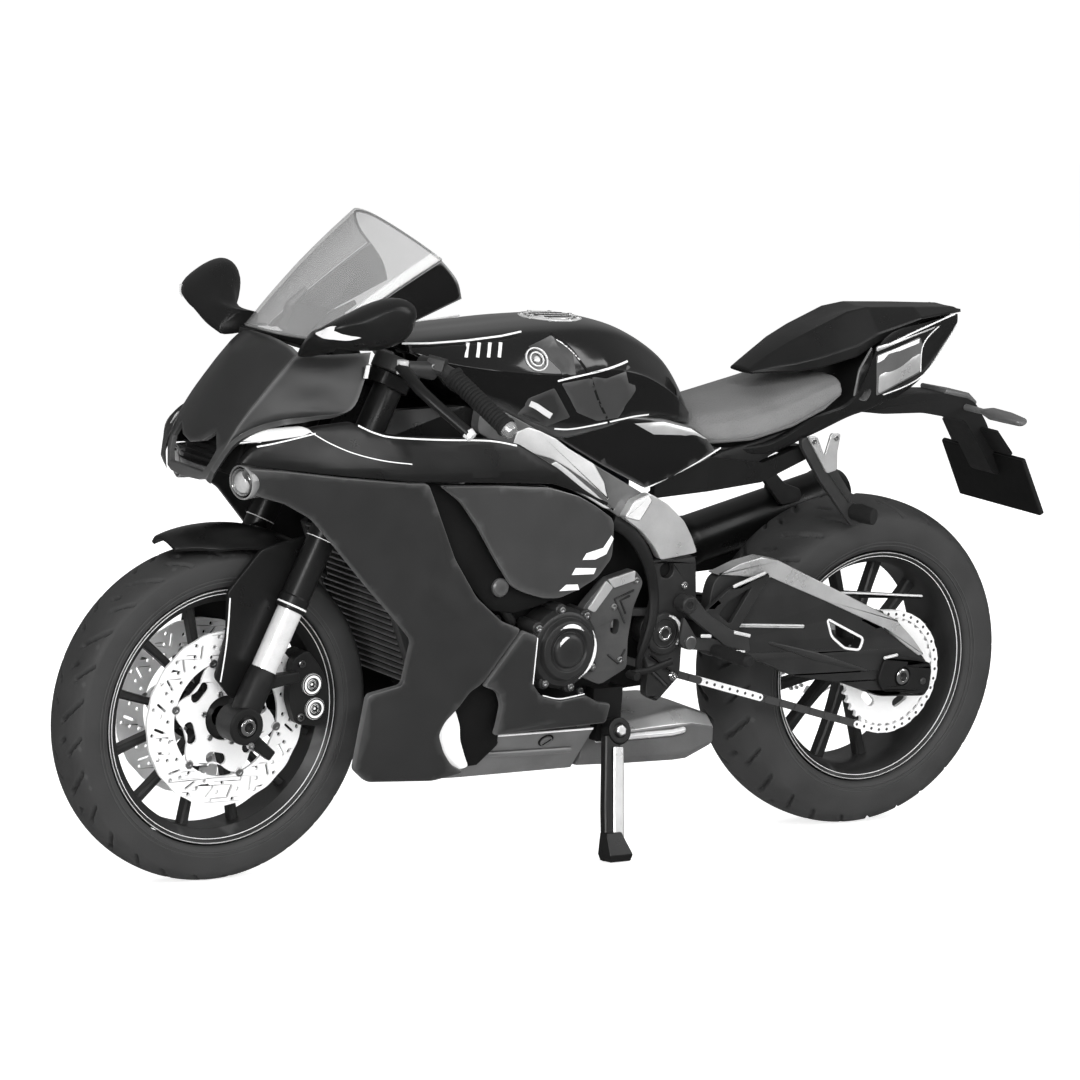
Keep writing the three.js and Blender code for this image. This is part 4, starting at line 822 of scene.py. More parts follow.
# ---- bars, grips and levers --------------------------------------------------------------------------
for side, which in SIDES:
    part = Part(f"clip_on_bar_{which}", "steering", GRIP, POWDER, ALLOY, STEEL, side=side)
    ring = [(83.2, 5.3), (83.5, 5.6), (86.6, 5.6), (86.9, 5.3), (86.9, 3.75), (83.2, 3.75)]
    part.rings([[fork(u, r * cos(a), TUBE_Y + r * sin(a)) for u, r in ring] for a in angles(40)],
               1, closed=True)
    start, end = Vector((136, 26, 115.4)), Vector((130.2, 40, 106))
    part.sweep([(138.9, 17.8, 117), (137.2, 23, 116.4), start], [1.75, 1.6, 1.6], 1, 20)
    line = [(0, 1.7), (0.01, 2.4), (0.06, 2.4), (0.07, 1.95)]
    for k in range(17):  # ribbed rubber
        t = 0.09 + 0.83 * k / 16
        line += [(t, 1.92), (t + 0.012, 2.12), (t + 0.036, 2.12), (t + 0.046, 1.92)]
    line += [(0.955, 2.0), (0.96, 2.3), (1.0, 2.3)]
    part.sweep(*between(start, end, line), 0, 24)
    part.sweep(*between(start, end, [(1.0, 1.9), (1.05, 1.9), (1.1, 1.6), (1.12, 1.0)]), 2, 24)
    part.sweep([(138.4, 22.2, 115.9), (142, 22.8, 116.3), (146.4, 23.3, 116.8)],
               [(2.1, 1.7), (1.8, 1.6), (1.6, 1.5)], 1, 16)
    part.beam([(139.5, 21.6, 117.6), (137, 24.6, 117)], (3.6, 3.0), 1, chamfer=0.6)  # switch box
    part.bolt(139.4, 23.6, 117.0, 0.7, 0.5, 3)
    part.done(bevel=0.1, replaces=[f"clip_on_{which}"])

    body = "clutch_lever" if side > 0 else "brake_lever"
    part = Part(f"hand_lever_blade_{which}", body, INK, POLISHED, side=side)
    part.sweep([(147.2, 23.4, 115.6), (147.2, 23.4, 118.5)], 1.3, 1, 16, up=(1, 0, 0))
    blade = [(147.6, 23.4, 117.1), (147.4, 26.6, 115.4), (146.7, 30.6, 112.9), (144.1, 34, 109.9),
             (141.4, 37.2, 107), (139.7, 39.2, 105.1), (139.1, 40.1, 104.3)]
    part.sweep(blade, [(1.5, 1.0), (1.5, 1.1), (1.45, 1.1), (1.35, 1.05), (1.25, 1.0), (1.35, 1.15),
                       (1.2, 1.0)], 0, 18)
    part.sweep([blade[-2], Vector(blade[-1]) + Vector((0.05, 0.1, -0.1))], [(1.42, 1.2), (1.25, 1.05)],
               1, 18)
    part.done(replaces=[f"hand_lever_{which}"])


# ---- more shapes for the bodywork --------------------------------------------------------------------
def drawn(points, steps, closed=False):
    """A smooth curve through points in any number of dimensions."""
    count = len(points)
    made = []
    for i in range(count if closed else count - 1):
        ids = [(i + k) % count if closed else min(max(i + k, 0), count - 1) for k in (-1, 0, 1, 2)]
        p = [Vector(points[j]) for j in ids]
        for k in range(steps):
            t = k / steps
            made.append(0.5 * (2 * p[1] + (p[2] - p[0]) * t
                               + (2 * p[0] - 5 * p[1] + 4 * p[2] - p[3]) * t * t
                               + (3 * p[1] - p[0] - 3 * p[2] + p[3]) * t ** 3))
    return made if closed else made + [Vector(points[-1])]


def surface(rows, down, across):
    """A finer grid through a grid of points."""
    columns = list(zip(*[drawn(row, across) for row in rows]))
    return list(zip(*[drawn(column, down) for column in columns]))


def sheet(part, grid, wall, m=0, lip=0.25):
    """A shell on a grid, thickened along its normals, with its border rounded off."""
    rows, cols = len(grid), len(grid[0])

    def at(i, j):
        return grid[min(max(i, 0), rows - 1)][min(max(j, 0), cols - 1)]

    front, back = [], []
    for i in range(rows):
        for j in range(cols):
            normal = (at(i + 1, j) - at(i - 1, j)).cross(at(i, j + 1) - at(i, j - 1)).normalized()
            border = i in (0, rows - 1) or j in (0, cols - 1)
            front.append(at(i, j) - normal * (lip if border else 0))
            back.append(at(i, j) - normal * wall)
    count = rows * cols
    faces = []
    for i in range(rows - 1):
        for j in range(cols - 1):
            a, b, c, d = i * cols + j, i * cols + j + 1, (i + 1) * cols + j + 1, (i + 1) * cols + j
            faces += [(a, b, c, d), (a + count, d + count, c + count, b + count)]
    ring = ([(0, j) for j in range(cols)] + [(i, cols - 1) for i in range(1, rows)]
            + [(rows - 1, j) for j in range(cols - 2, -1, -1)] + [(i, 0) for i in range(rows - 2, 0, -1)])
    ids = [i * cols + j for i, j in ring]
    faces += [(a, b, b + count, a + count) for a, b in zip(ids, ids[1:] + ids[:1])]
    part.add(front + back, faces, m)


def trim(grid, share=0.06):
    """Adds a narrow row and column along each border, so that a rounded border stays narrow."""
    def widen(line):
        return [line[0], line[0].lerp(line[1], share), *line[1:-1], line[-1].lerp(line[-2], share),
                line[-1]]
    rows = [widen(list(row)) for row in grid]
    return list(zip(*[widen(list(column)) for column in zip(*rows)]))


def skin(stations, along, around):
    """Rings through stations of (x, half outline of (y, z) from top to bottom), alike on both sides."""
    rings = []
    for x, half in stations:
        left = [(x, y, z) for y, z in half]
        right = [(x, -y, z) for y, z in half[-2:0:-1]]
        rings.append(drawn(left + right, around, closed=True))
    return list(zip(*[drawn(column, along) for column in zip(*rings)]))


def hull(part, stations, along, around):
    """A closed body over such rings, with softened ends."""
    tuck = 0.35
    rings = skin(stations, along, around)
    for end, inner in ((0, 1), (-1, -2)):
        ring = rings[end]
        centre = sum(ring, Vector()) / len(ring)
        out = (centre - sum(rings[inner], Vector()) / len(ring)).normalized() * tuck
        cap = [p.lerp(centre, tuck / max((p - centre).length, tuck)) for p in ring]
        rings[end] = [p - out for p in ring]
        rings = [cap, *rings] if end == 0 else [*rings, cap]
    part.rings(rings)


def ribbon(part, line, width, height, m, lift=0.05):
    """A thin painted line on the field y = height(x, z)."""
    thick = 0.25
    path = drawn([(*p, 0) for p in line], 6)
    rings = []
    for i, here in enumerate(path):
        ahead = path[min(i + 1, len(path) - 1)] - path[max(i - 1, 0)]
        side = Vector((-ahead.y, ahead.x, 0)).normalized() * width / 2
        a, b = here + side, here - side
        ya, yb = height(a.x, a.y), height(b.x, b.y)
        rings.append([(a.x, ya + lift, a.y), (b.x, yb + lift, b.y), (b.x, yb - thick, b.y),
                      (a.x, ya - thick, a.y)])
    part.rings(rings, m)


def mark(part, outline, height, m, lift=0.05):
    """A thin painted patch on the field y = height(x, z)."""
    part.panel(outline, lambda x, z: height(x, z) + lift, 0.3, 1.6, m, lip=0.04)


def turned(part, origin, axis, profile, m=0, count=28):
    """A turned solid on any axis; the profile is [distance along, radius] from foot to crown."""
    along = Vector(axis).normalized()
    side = along.orthogonal().normalized()
    up = along.cross(side)
    part.rings([[Vector(origin) + along * t + (side * cos(a) + up * sin(a)) * max(r, 0.01)
                 for a in angles(count)] for t, r in profile], m)


# ---- side fairings -----------------------------------------------------------------------------------
FAIR_X = [190, 175, 160, 145, 130, 110, 85]
FAIR_Z = [106, 98, 92, 80, 65, 50, 35, 20]
FAIR_Y = [
    [8.6, 15.4, 19.8, 22.2, 23, 22.6, 19], [10.4, 17.6, 22, 24.8, 25.2, 24.8, 20.4],
    [11.4, 19, 23.8, 26.2, 26.4, 25.8, 21.2], [11.4, 18, 22, 24.6, 25.8, 25.6, 21.6],
    [12, 17, 20.2, 23.2, 25.8, 25.8, 22.6], [12, 15, 18.8, 21.2, 24.6, 25.6, 23],
    [12.6, 16.2, 19.8, 21.8, 22.8, 24.2, 21.8], [11, 15, 17.6, 18.8, 19.4, 20.4, 19.2],
]


def crest(x):
    return 92 + 0.09 * max(0.0, x - 145)


def fairing(x, z):
    """Half width of the fairing: it folds along the crest and swells into a blade low down."""
    rows = [spline(FAIR_X, row, x) for row in FAIR_Y]
    if z >= crest(x):
        return spline(FAIR_Z[:3], rows[:3], min(z - crest(x) + 92, 106))
    y = spline(FAIR_Z[2:], rows[2:], min(92, z + (92 - crest(x)) * max(0.0, (z - 80) / 12)))
    fold = (z - 60) - 0.72 * (x - 128)  # a soft diagonal crease into the lower corner of the opening
    if 112 < x < 150 and 50 < z < 78:
        fade = min(1, (x - 112) / 8, (150 - x) / 14, (z - 50) / 6, (78 - z) / 8)
        y += 0.5 * fade * max(0.0, 1 - abs(fold) / 5)
    return y


UPPER = [(182, 95.4), (179.6, 98.4), (176.2, 100.6), (171, 102.6), (164.8, 103.9), (157.6, 104.8),
         (153.7, 103.2), (147.8, 102), (122.9, 100.7), (116, 99.4), (105, 93.6), (97, 88.6), (88.4, 84.2),
         (97, 87.4), (106.7, 90.3), (139.7, 92), (145, 92.2), (160.5, 93.5), (173.1, 94.6), (179.2, 95.1)]
FRONT = [(180.4, 94.6), (173.1, 94.4), (160.5, 93.2), (145, 91.9), (140.2, 91.7), (136.9, 85.6),
         (131.3, 74.2), (125.3, 65.6), (118.2, 59.9), (112.8, 57.9), (121.8, 45.5), (124.3, 44),
         (126.9, 40.1), (129.6, 37.1), (130.6, 34.2), (128.4, 29.9), (125.7, 26.7), (122.6, 25.2),
         (122.9, 24.4), (129.6, 23), (146.6, 23.8), (150.8, 27.2), (149, 44), (140.8, 46), (139.6, 56.1),
         (144, 60.8), (151, 67.8), (160.7, 78.2), (165.9, 83.7), (172, 87), (178, 88.6), (180.8, 92.4)]
REAR = [(112.2, 57.5), (108, 55.9), (108, 44.8), (105.4, 42), (99.8, 40.4), (92, 41), (88, 39),
        (84.2, 38.4), (84.8, 33.8), (116.6, 33.4), (116.2, 36), (116, 40.6), (117.3, 43.6), (121.2, 45.2)]
VENT = [(126.9, 40.4), (129.9, 37.2), (130.9, 34.2), (128.6, 29.7), (125.7, 26.4), (122.4, 25),
        (120.2, 25.6), (122, 28.6), (124, 32.4), (124.8, 36)]
INNER = [(136.4, 90.9), (120, 90.3), (106.7, 89.2), (97, 86.6), (91.4, 84), (85.6, 80.6), (85.4, 76),
         (85.6, 71.8), (89.8, 67.4), (95, 65.2), (101, 63.6), (106, 64), (112, 65.8), (115.2, 67.4),
         (119.6, 73), (125.2, 81), (130.5, 87)]
RECESS = [(138.6, 91), (106.7, 89.4), (97, 86.6), (91.4, 84), (85, 80.6), (85.2, 71.6), (89.8, 67.2),
          (100.4, 63.2), (106, 61.8), (112.7, 60.6), (119, 61.6), (126.1, 68.4), (132, 78)]
SPEED_MARKS = [[(101.4, 65.4), (99.4, 66.7), (95.8, 66.5), (95.2, 65.2)],
               [(97.9, 68.8), (96.8, 70.3), (90.4, 69.8), (91.1, 68.5)],
               [(94.8, 72), (93.7, 73.4), (88.6, 74.3), (86.3, 77), (85.6, 76.2), (87.6, 72.8),
                (90.9, 71.8)]]


def inner_field(x, z):
    return fairing(x, z) - 1.9 + 0.6 * min(1, max(0, (z - 64) / 22))


for side, which in SIDES:
    part = Part(f"fairing_flank_{which}", "chassis", INK, LINE, side=side)
    part.panel(rounded(UPPER, 0.8, 3), fairing, 1.3, 1.4, 0, lip=0.45)
    # Pale lines along the crest and the upper edges: painted highlights.
    ribbon(part, [(156.2, 104.1), (152.4, 102.5), (148, 101.6), (136, 100.9), (124, 100.4), (117, 99.2)],
           0.34, fairing, 1)
    ribbon(part, [(167.2, 102.8), (163, 100.4), (157.7, 98.3), (151.2, 96.8), (144.4, 96)],
           0.2, fairing, 1)
    ribbon(part, [(178.4, 99.3), (171.5, 101), (166, 102.4)], 0.26, fairing, 1)
    part.done()

    part = Part(f"fairing_front_{which}", "chassis", SATIN, side=side)
    part.panel(rounded(FRONT, 1.2, 4), fairing, 1.3, 1.4, 0, lip=0.45)
    part.done(replaces=[f"side_fairing_{which}"])

    part = Part(f"fairing_lower_{which}", "chassis", SATIN, LINE, side=side)
    part.panel(rounded(REAR, 0.9, 4), fairing, 1.3, 1.4, 0, lip=0.45)
    # Pale lines along the edge of the opening and the lower rim: painted highlights.
    ribbon(part, [(108.2, 55.6), (108.3, 50), (108.3, 45)], 0.22, fairing, 1)
    ribbon(part, [(105, 42.1), (99.8, 40.9), (92.6, 41.4)], 0.22, fairing, 1)
    part.done()

    part = Part(f"fairing_vent_{which}", "chassis", LINE, DARK, side=side)
    part.panel(rounded(VENT, 1, 4), lambda x, z: fairing(x, z) - 1.5, 0.6, 1.2, 0, lip=0.3)
    # The dark sheet set deep behind the vent is painted shade in the duct.
    part.panel([(113, 46), (113, 30), (117, 25.4), (125, 24.6), (132, 34), (129, 44), (124, 47)],
               lambda x, z: fairing(x, z) - 3.2, 0.6, 2.5, 1)
    part.done()

    # The panel behind the opening, with a dark channel in front of it that is painted shade in the gap, and
    # generic speed marks.
    part = Part(f"fairing_inner_{which}", "chassis", SHEEN, DARK, LINE, CAST, side=side)
    part.panel(rounded(INNER, 1.4, 4), inner_field, 1.0, 1.5, 0, lip=0.5)
    part.panel(rounded(RECESS, 1.2, 3), lambda x, z: fairing(x, z) - 3.9, 0.7, 2.4, 1)
    for shape in SPEED_MARKS:
        mark(part, shape, inner_field, 2)
    y = fairing(116.5, 67) - 3.9
    part.knob([(y - 0.2, 2.1), (y + 0.7, 2.1), (y + 1.1, 1.7), (y + 1.2, 0.2)], 117.2, 66.9, 3, 24)
    part.done(replaces=[f"inner_panel_{which}"])

# ---- nose --------------------------------------------------------------------------------------------
NOSE_Z = [122, 118.5, 114, 109.5, 105, 101.4, 97.6, 91.4]
NOSE_X = [171, 175, 178, 180.6, 182.8, 184.4, 185.6, 187]
RIDGE_Z = [118.6, 114.6, 110.4, 106.8, 103, 99, 95.6, 90.8]
RIDGE_Y = [13.2, 13.3, 13.1, 12.9, 12.5, 12, 11.2, 8.6]
RIDGE_DROP = [7.3, 6, 4.8, 3.7, 2.8, 2.1, 1.4, 1.2]


def nose_face(y, z):
    """How far forward the nose reaches at a width and height."""
    crown = spline(NOSE_Z, NOSE_X, z)
    return crown - spline(RIDGE_Z, RIDGE_DROP, z) * (abs(y) / spline(RIDGE_Z, RIDGE_Y, z)) ** 1.8


def swapped(part):
    """A panel drawn as x = field(y, z) instead of y = field(x, z)."""
    for v in part.bm.verts:
        v.co = (v.co.y, v.co.x, v.co.z)


half_face = [(0, 121.6), (4, 121.4), (7, 120.8), (10.4, 119.8), (13, 118.4), (13.15, 114.6),
             (12.95, 110.4), (12.75, 106.8), (12.35, 103), (11.85, 99), (11, 95.6), (8.4, 91.2),
             (6, 90.6), (0, 90.4)]
face = half_face + [(-y, z) for y, z in half_face[-2:0:-1]]
mouth = rounded([(0, 97.8), (4.4, 98.8), (7.4, 101), (9.4, 97.6), (8.4, 94.6), (7, 92.6), (-7, 92.6),
                 (-8.4, 94.6), (-9.4, 97.6), (-7.4, 101), (-4.4, 98.8)], 0.15, 2)
part = Part("nose_face", "chassis", SATIN)
part.panel(face, nose_face, 1.3, 1.2, 0, lip=0.3, holes=[mouth])
swapped(part)
part.done(replaces=["nose_cowl"])

part = Part("nose_intake", "chassis", DARK, MOULDED)
# The dark backing sheet behind the bars is painted shade inside the intake.
part.panel([(-11, 103), (-11, 92), (11, 92), (11, 103)],
           lambda y, z: nose_face(y, z) - 3.4 - 0.1 * abs(y), 0.6, 2.5, 0)
for k in range(7):  # mesh bars across the intake
    z = 93 + k * 1.15
    part.panel([(-8.6, z), (8.6, z), (8.6, z + 0.35), (-8.6, z + 0.35)],
               lambda y, z: nose_face(y, z) - 2.9, 0.4, 3, 1, lip=0.05)
swapped(part)
part.done()

FLANK = [
    [(167.6, 13.2, 118.6), (159.6, 15.4, 118.8), (151.4, 17, 119.4)],
    [(171.6, 13.3, 114.6), (162.4, 16.2, 113.2), (153.6, 18.4, 113)],
    [(175.3, 13.1, 110.4), (166.4, 17, 108.6), (157.2, 19.4, 107.2)],
    [(178.2, 12.9, 106.8), (171.6, 16, 106.3), (165, 18.6, 106)],
    [(180.9, 12.5, 103), (176.6, 14.8, 104), (172, 17, 105.2)],
    [(183.1, 12, 99), (181.4, 13.8, 101), (178.8, 15.6, 103.4)],
    [(184.8, 11.2, 95.6), (184.4, 12.4, 97.6), (183.6, 13.6, 99.8)],
    [(185.9, 8.6, 90.8), (186.1, 9.6, 92), (186.3, 10.8, 93.6)],
]
POSITION_LIGHT = [(183.2, 99.4), (180.8, 101.9), (176.2, 103.1), (168.5, 103.8), (166.4, 102.9),
                  (168.5, 101.8), (175.9, 100.6)]
for side, which in SIDES:
    part = Part(f"nose_flank_{which}", "chassis", SATIN, LINE, side=side)
    sheet(part, trim(surface(FLANK, 5, 7)), 1.2, 0, lip=0.35)
    rear = [(153.2, 18.75, 114), (152.6, 18.55, 116.8)]  # a pale strip on the rear edge, a painted highlight
    sheet(part, [[Vector((x + dx, y, z)) for dx in (0.9, 0)] for x, y, z in rear], 0.4, 1, lip=0.05)
    part.done(sharp=60)

    part = Part(f"position_light_{which}", "chassis", LENS, side=side)
    part.panel(rounded(POSITION_LIGHT, 0.8, 4), lambda x, z: fairing(x, z) + 0.35, 1.2, 1.1, 0, lip=0.5)
    part.done()

    # Round projector lamp, set in a dark cup under the nose.
    part = Part(f"headlamp_{which}", "chassis", MESH, CHROME, GLOSS, side=side)
    centre, aim = Vector((180.2, 14.0, 91.2)), Vector((0.97, 0.22, -0.08)).normalized()
    turned(part, centre, aim, [(-5, 1.8), (-4, 2.7), (-0.4, 3.0), (0.2, 3.05), (0.35, 2.9), (0.1, 2.7),
                               (-0.6, 2.6)], 1, 36)
    turned(part, centre, aim, [(-1.4, 2.5), (-0.4, 2.55), (0.3, 2.2), (0.9, 1.4), (1.1, 0.3)], 0, 32)
    turned(part, centre - aim * 0.3, aim,
           [(-6, 3.9), (-1, 3.9), (0.4, 3.8), (0.6, 3.5), (-0.1, 3.2), (-3, 3.1)], 2, 36)
    part.done(sharp=50)

# ---- screen, instruments and mirrors -----------------------------------------------------------------
FOOT = [(171, 0, 122.6), (170.2, 4, 122.4), (168, 7.4, 122), (164.6, 10.2, 121.6), (160.4, 12.2, 121.2),
        (155.4, 13.6, 121), (150, 14.4, 121)]
TAIL = [(145.3, 0, 148), (144.4, 4.2, 147.4), (141.5, 8.6, 145.2), (137.6, 12.6, 142.2),
        (133.6, 15, 139.2), (129.6, 15.8, 134.8), (128, 15.8, 130.6)]


def screen_rows(first, last):
    rows = []
    for k in range(5):
        u = k / 4
        row = []
        for i in range(first, last + 1):
            a, b = Vector(FOOT[i]), Vector(TAIL[i])
            bulge = sin(pi * u) * (1 - i / 6) * 0.8
            row.append(a.lerp(b, u) + Vector((bulge, 0, bulge)))
        rows.append(row)
    return rows


rows = [[Vector((p.x, -p.y, p.z)) for p in row[:0:-1]] + list(row) for row in screen_rows(0, 4)]
part = Part("windscreen_clear", "chassis", SCREEN)
sheet(part, trim(surface(rows, 6, 5), 0.2), 0.7, 0, lip=0.12)
part.done(sharp=70, replaces=["windscreen"])

part = Part("windscreen_surround", "chassis", GLOSS, DARK)
for side in (1, -1):
    band = [[Vector((p.x, side * (p.y + 0.1), p.z)) for p in row] for row in screen_rows(4, 6)]
    band = trim(surface(band, 6, 6), 0.25)
    sheet(part, band if side < 0 else [row[::-1] for row in band], 1.0, 0, lip=0.2)
edge = [Vector(p) for p in TAIL[4:0:-1]] + [Vector((x, -y, z)) for x, y, z in TAIL[:5]]
part.sweep([p + Vector((-0.1, 0, -0.1)) for p in drawn(edge, 4)], 0.28, 1, 8, up=(1, 0, 1))
foot = [Vector((x, -y, z)) for x, y, z in FOOT[4:0:-1]] + [Vector(p) for p in FOOT[:5]]
part.sweep([p + Vector((0.35, 0, 0.2)) for p in drawn(foot, 4)], (0.55, 0.3), 0, 10, up=(1, 0, -1))
part.done(sharp=60)

part = Part("instrument_cluster", "chassis", MOULDED, GLOSS)
part.beam([(158.5, 0, 118), (154.5, 0, 126.5)], [(4.2, 17), (4.2, 14)], 0, chamfer=1.4)
part.beam([(154.8, 0, 119.4), (151.4, 0, 126.4)], [(1.2, 13), (1.2, 10.5)], 1, chamfer=0.6)
for side in (1, -1):
    part.beam([(156, side * 8, 119), (162, side * 12.6, 119.4), (166, side * 14.8, 119.8)], (2.0, 1.4), 0)
    part.sweep([(160, side * 6, 121), (157, side * 8.6, 126), (152, side * 10.4, 129.5)],
               [(1.6, 0.5), (1.4, 0.5), (0.6, 0.4)], 1, 12)
part.done(bevel=0.25)

for side, which in SIDES:
    part = Part(f"mirror_housing_{which}", "chassis", INK, GLOSS, side=side)
    outlines = {
        16.6: [(169.6, 118.8), (161, 119.6), (160.2, 121.6), (160.6, 123.4), (163.6, 123.8),
               (166.8, 123.8)],
        20.5: [(171, 120.6), (163.4, 121.2), (162.6, 122.8), (162.8, 124.2), (165.6, 125),
               (168.6, 124.8)],
        24.4: [(172.6, 123.2), (162, 121.4), (157.4, 122.8), (156.8, 126.6), (160, 128.8),
               (166.4, 126.8)],
        28.5: [(173, 125), (161, 121.6), (153, 123.2), (151.6, 129.4), (156.4, 132.6), (165.2, 129.8)],
        32.5: [(171, 126.6), (160.6, 123.2), (152.4, 124.8), (150.8, 131), (155.8, 133.4),
               (164.8, 130.8)],
        35.2: [(166.8, 128), (160, 126), (154.2, 126.8), (152.8, 130.8), (156.6, 132.4), (162.6, 130.8)],
        35.9: [(163.4, 128.4), (159.6, 127.4), (155.8, 128), (155, 130.2), (157.6, 131.2),
               (161.4, 130.2)],
    }
    deep = 1 if side > 0 else 0.66  # the right shell is shorter front to back
    rings = [drawn([(171 + (x - 171) * (deep if y > 24 else 1), y, z) for x, z in outline],
                   5, closed=True)
             for y, outline in outlines.items()]
    part.rings(list(zip(*[drawn(column, 4) for column in zip(*rings)])), 0)
    glass = [[Vector((156.9, 25.6, 124.7)), Vector((153.2, 29.4, 125.9)), Vector((152.6, 33.2, 126.7))],
             [Vector((157, 26, 127.4)), Vector((152.6, 29.8, 128.8)), Vector((151.9, 33.4, 129.4))],
             [Vector((158.4, 27, 129.6)), Vector((153.8, 30.4, 131.3)), Vector((153.6, 33, 131.6))]]
    glass = [[Vector((170.5 + (p.x - 171) * deep, p.y, p.z)) for p in row] for row in surface(glass, 4,
            4)]
    sheet(part, trim([row[::-1] for row in glass] if side < 0 else glass),
          0.6 if side > 0 else -0.6, 1, lip=0.15)
    part.done(sharp=70, replaces=[f"mirror_{which}"])

    part = Part(f"mirror_indicator_{which}", "chassis", LENS, side=side)
    lens = [[(171.9, 28, 125.4), (171.2, 29.6, 126.2), (170.5, 31.6, 127.2), (166, 32.9, 127.4),
             (161.8, 33.9, 126.1)], [(172.0, 28.1, 125.2), (171.3, 29.7, 125.2), (170.2, 31.8, 125.4),
                                     (166, 32.9, 125.4), (161.8, 33.9, 125.8)],
                                     [(171.9, 28.2, 125), (171, 29.8, 124.4), (169.6, 31.8, 124.4),
                                      (166, 32.6, 124.3), (161.8, 33.7, 125.5)]]
    if side < 0:
        lens = [row[2:] for row in lens]
    grid = [[p + Vector((1.1, 0.6, 0.35)) for p in row] for row in surface(lens, 4, 4)]
    sheet(part, trim([row[::-1] for row in grid] if side < 0 else grid),
          -0.5 if side < 0 else 0.5, 0, lip=0.1)
    part.done(sharp=70)


# ---- tank, seats and tail ----------------------------------------------------------------------------
TANK = [
    (137.2, [(0, 120.6), (3.6, 120.5), (7.4, 120.1), (8.8, 119.6), (9.4, 118.9), (9.6, 118.4), (9, 117.9),
             (5, 117.6), (0, 117.5)]),
    (134, [(0, 121.2), (4, 121.1), (8.6, 120.6), (10.6, 119.6), (11.8, 117.8), (12, 116.8), (11.4, 116),
           (6, 115.2), (0, 115)]),
    (127, [(0, 121.9), (4.4, 121.9), (9.6, 121.4), (12.2, 119.9), (14.6, 116.2), (14.8, 115.2),
           (13.6, 110.4), (8, 109.4), (0, 109.2)]),
    (115, [(0, 122.9), (5, 122.9), (10.2, 122.3), (12.8, 120.6), (17, 114.9), (17.3, 113.6),
           (16.2, 105.2),
           (10, 104.4), (0, 104.2)]),
    (101, [(0, 124), (5.4, 123.9), (10.8, 123.1), (13.4, 121.2), (17.9, 113.8), (18.2, 112.4),
           (16.4, 99.8),
           (10, 99.2), (0, 99)]),
    (88, [(0, 124.2), (5.4, 124), (10.8, 123), (13.4, 120.8), (18, 114.9), (18.2, 113.2), (15.8, 100.8),
          (10, 100.2), (0, 100)]),
    (78, [(0, 122), (5, 121.8), (9.8, 120.6), (12.6, 118), (16.2, 113.4), (16.6, 111.6), (15, 102.2),
          (9, 101.6), (0, 101.4)]),
    (68, [(0, 116.6), (4.6, 116.4), (8.6, 115.2), (11, 112.6), (13.4, 109), (13.8, 107.6), (12.8, 101.6),
          (8, 101.2), (0, 101.1)]),
    (62, [(0, 110.2), (4, 110), (7.4, 109), (9.4, 107), (11, 104.8), (11.3, 103.8), (10.8, 100.8),
          (7, 100.5), (0, 100.4)]),
    (59.4, [(0, 105.6), (3.4, 105.5), (6.4, 104.7), (8.4, 103.6), (9.7, 102.6), (9.9, 102), (9.6, 100.5),
            (6, 100.3), (0, 100.2)]),
]
TANK_RINGS = skin(TANK, 6, 5)
part = Part("fuel_tank_cover", "chassis", GLOSS)
hull(part, TANK, 6, 5)
part.done(sharp=70, replaces=["tank_cover"])


def ring_reach(ring, z):
    """How far to the left a ring reaches at a height."""
    sides = [0.0]
    for p, q in zip(ring, ring[1:]):
        if (p.z - z) * (q.z - z) <= 0 and p.z != q.z:
            sides.append(p.y + (q.y - p.y) * (z - p.z) / (q.z - p.z))
    return max(sides)


def tank_side(x, z):
    """The tank's left surface."""
    i = max([k for k, ring in enumerate(TANK_RINGS) if ring[0].x >= x], default=0)
    i = min(i, len(TANK_RINGS) - 2)
    a, b = TANK_RINGS[i], TANK_RINGS[i + 1]
    t = min(1, max(0, (a[0].x - x) / (a[0].x - b[0].x)))
    return ring_reach(a, z) * (1 - t) + ring_reach(b, z) * t


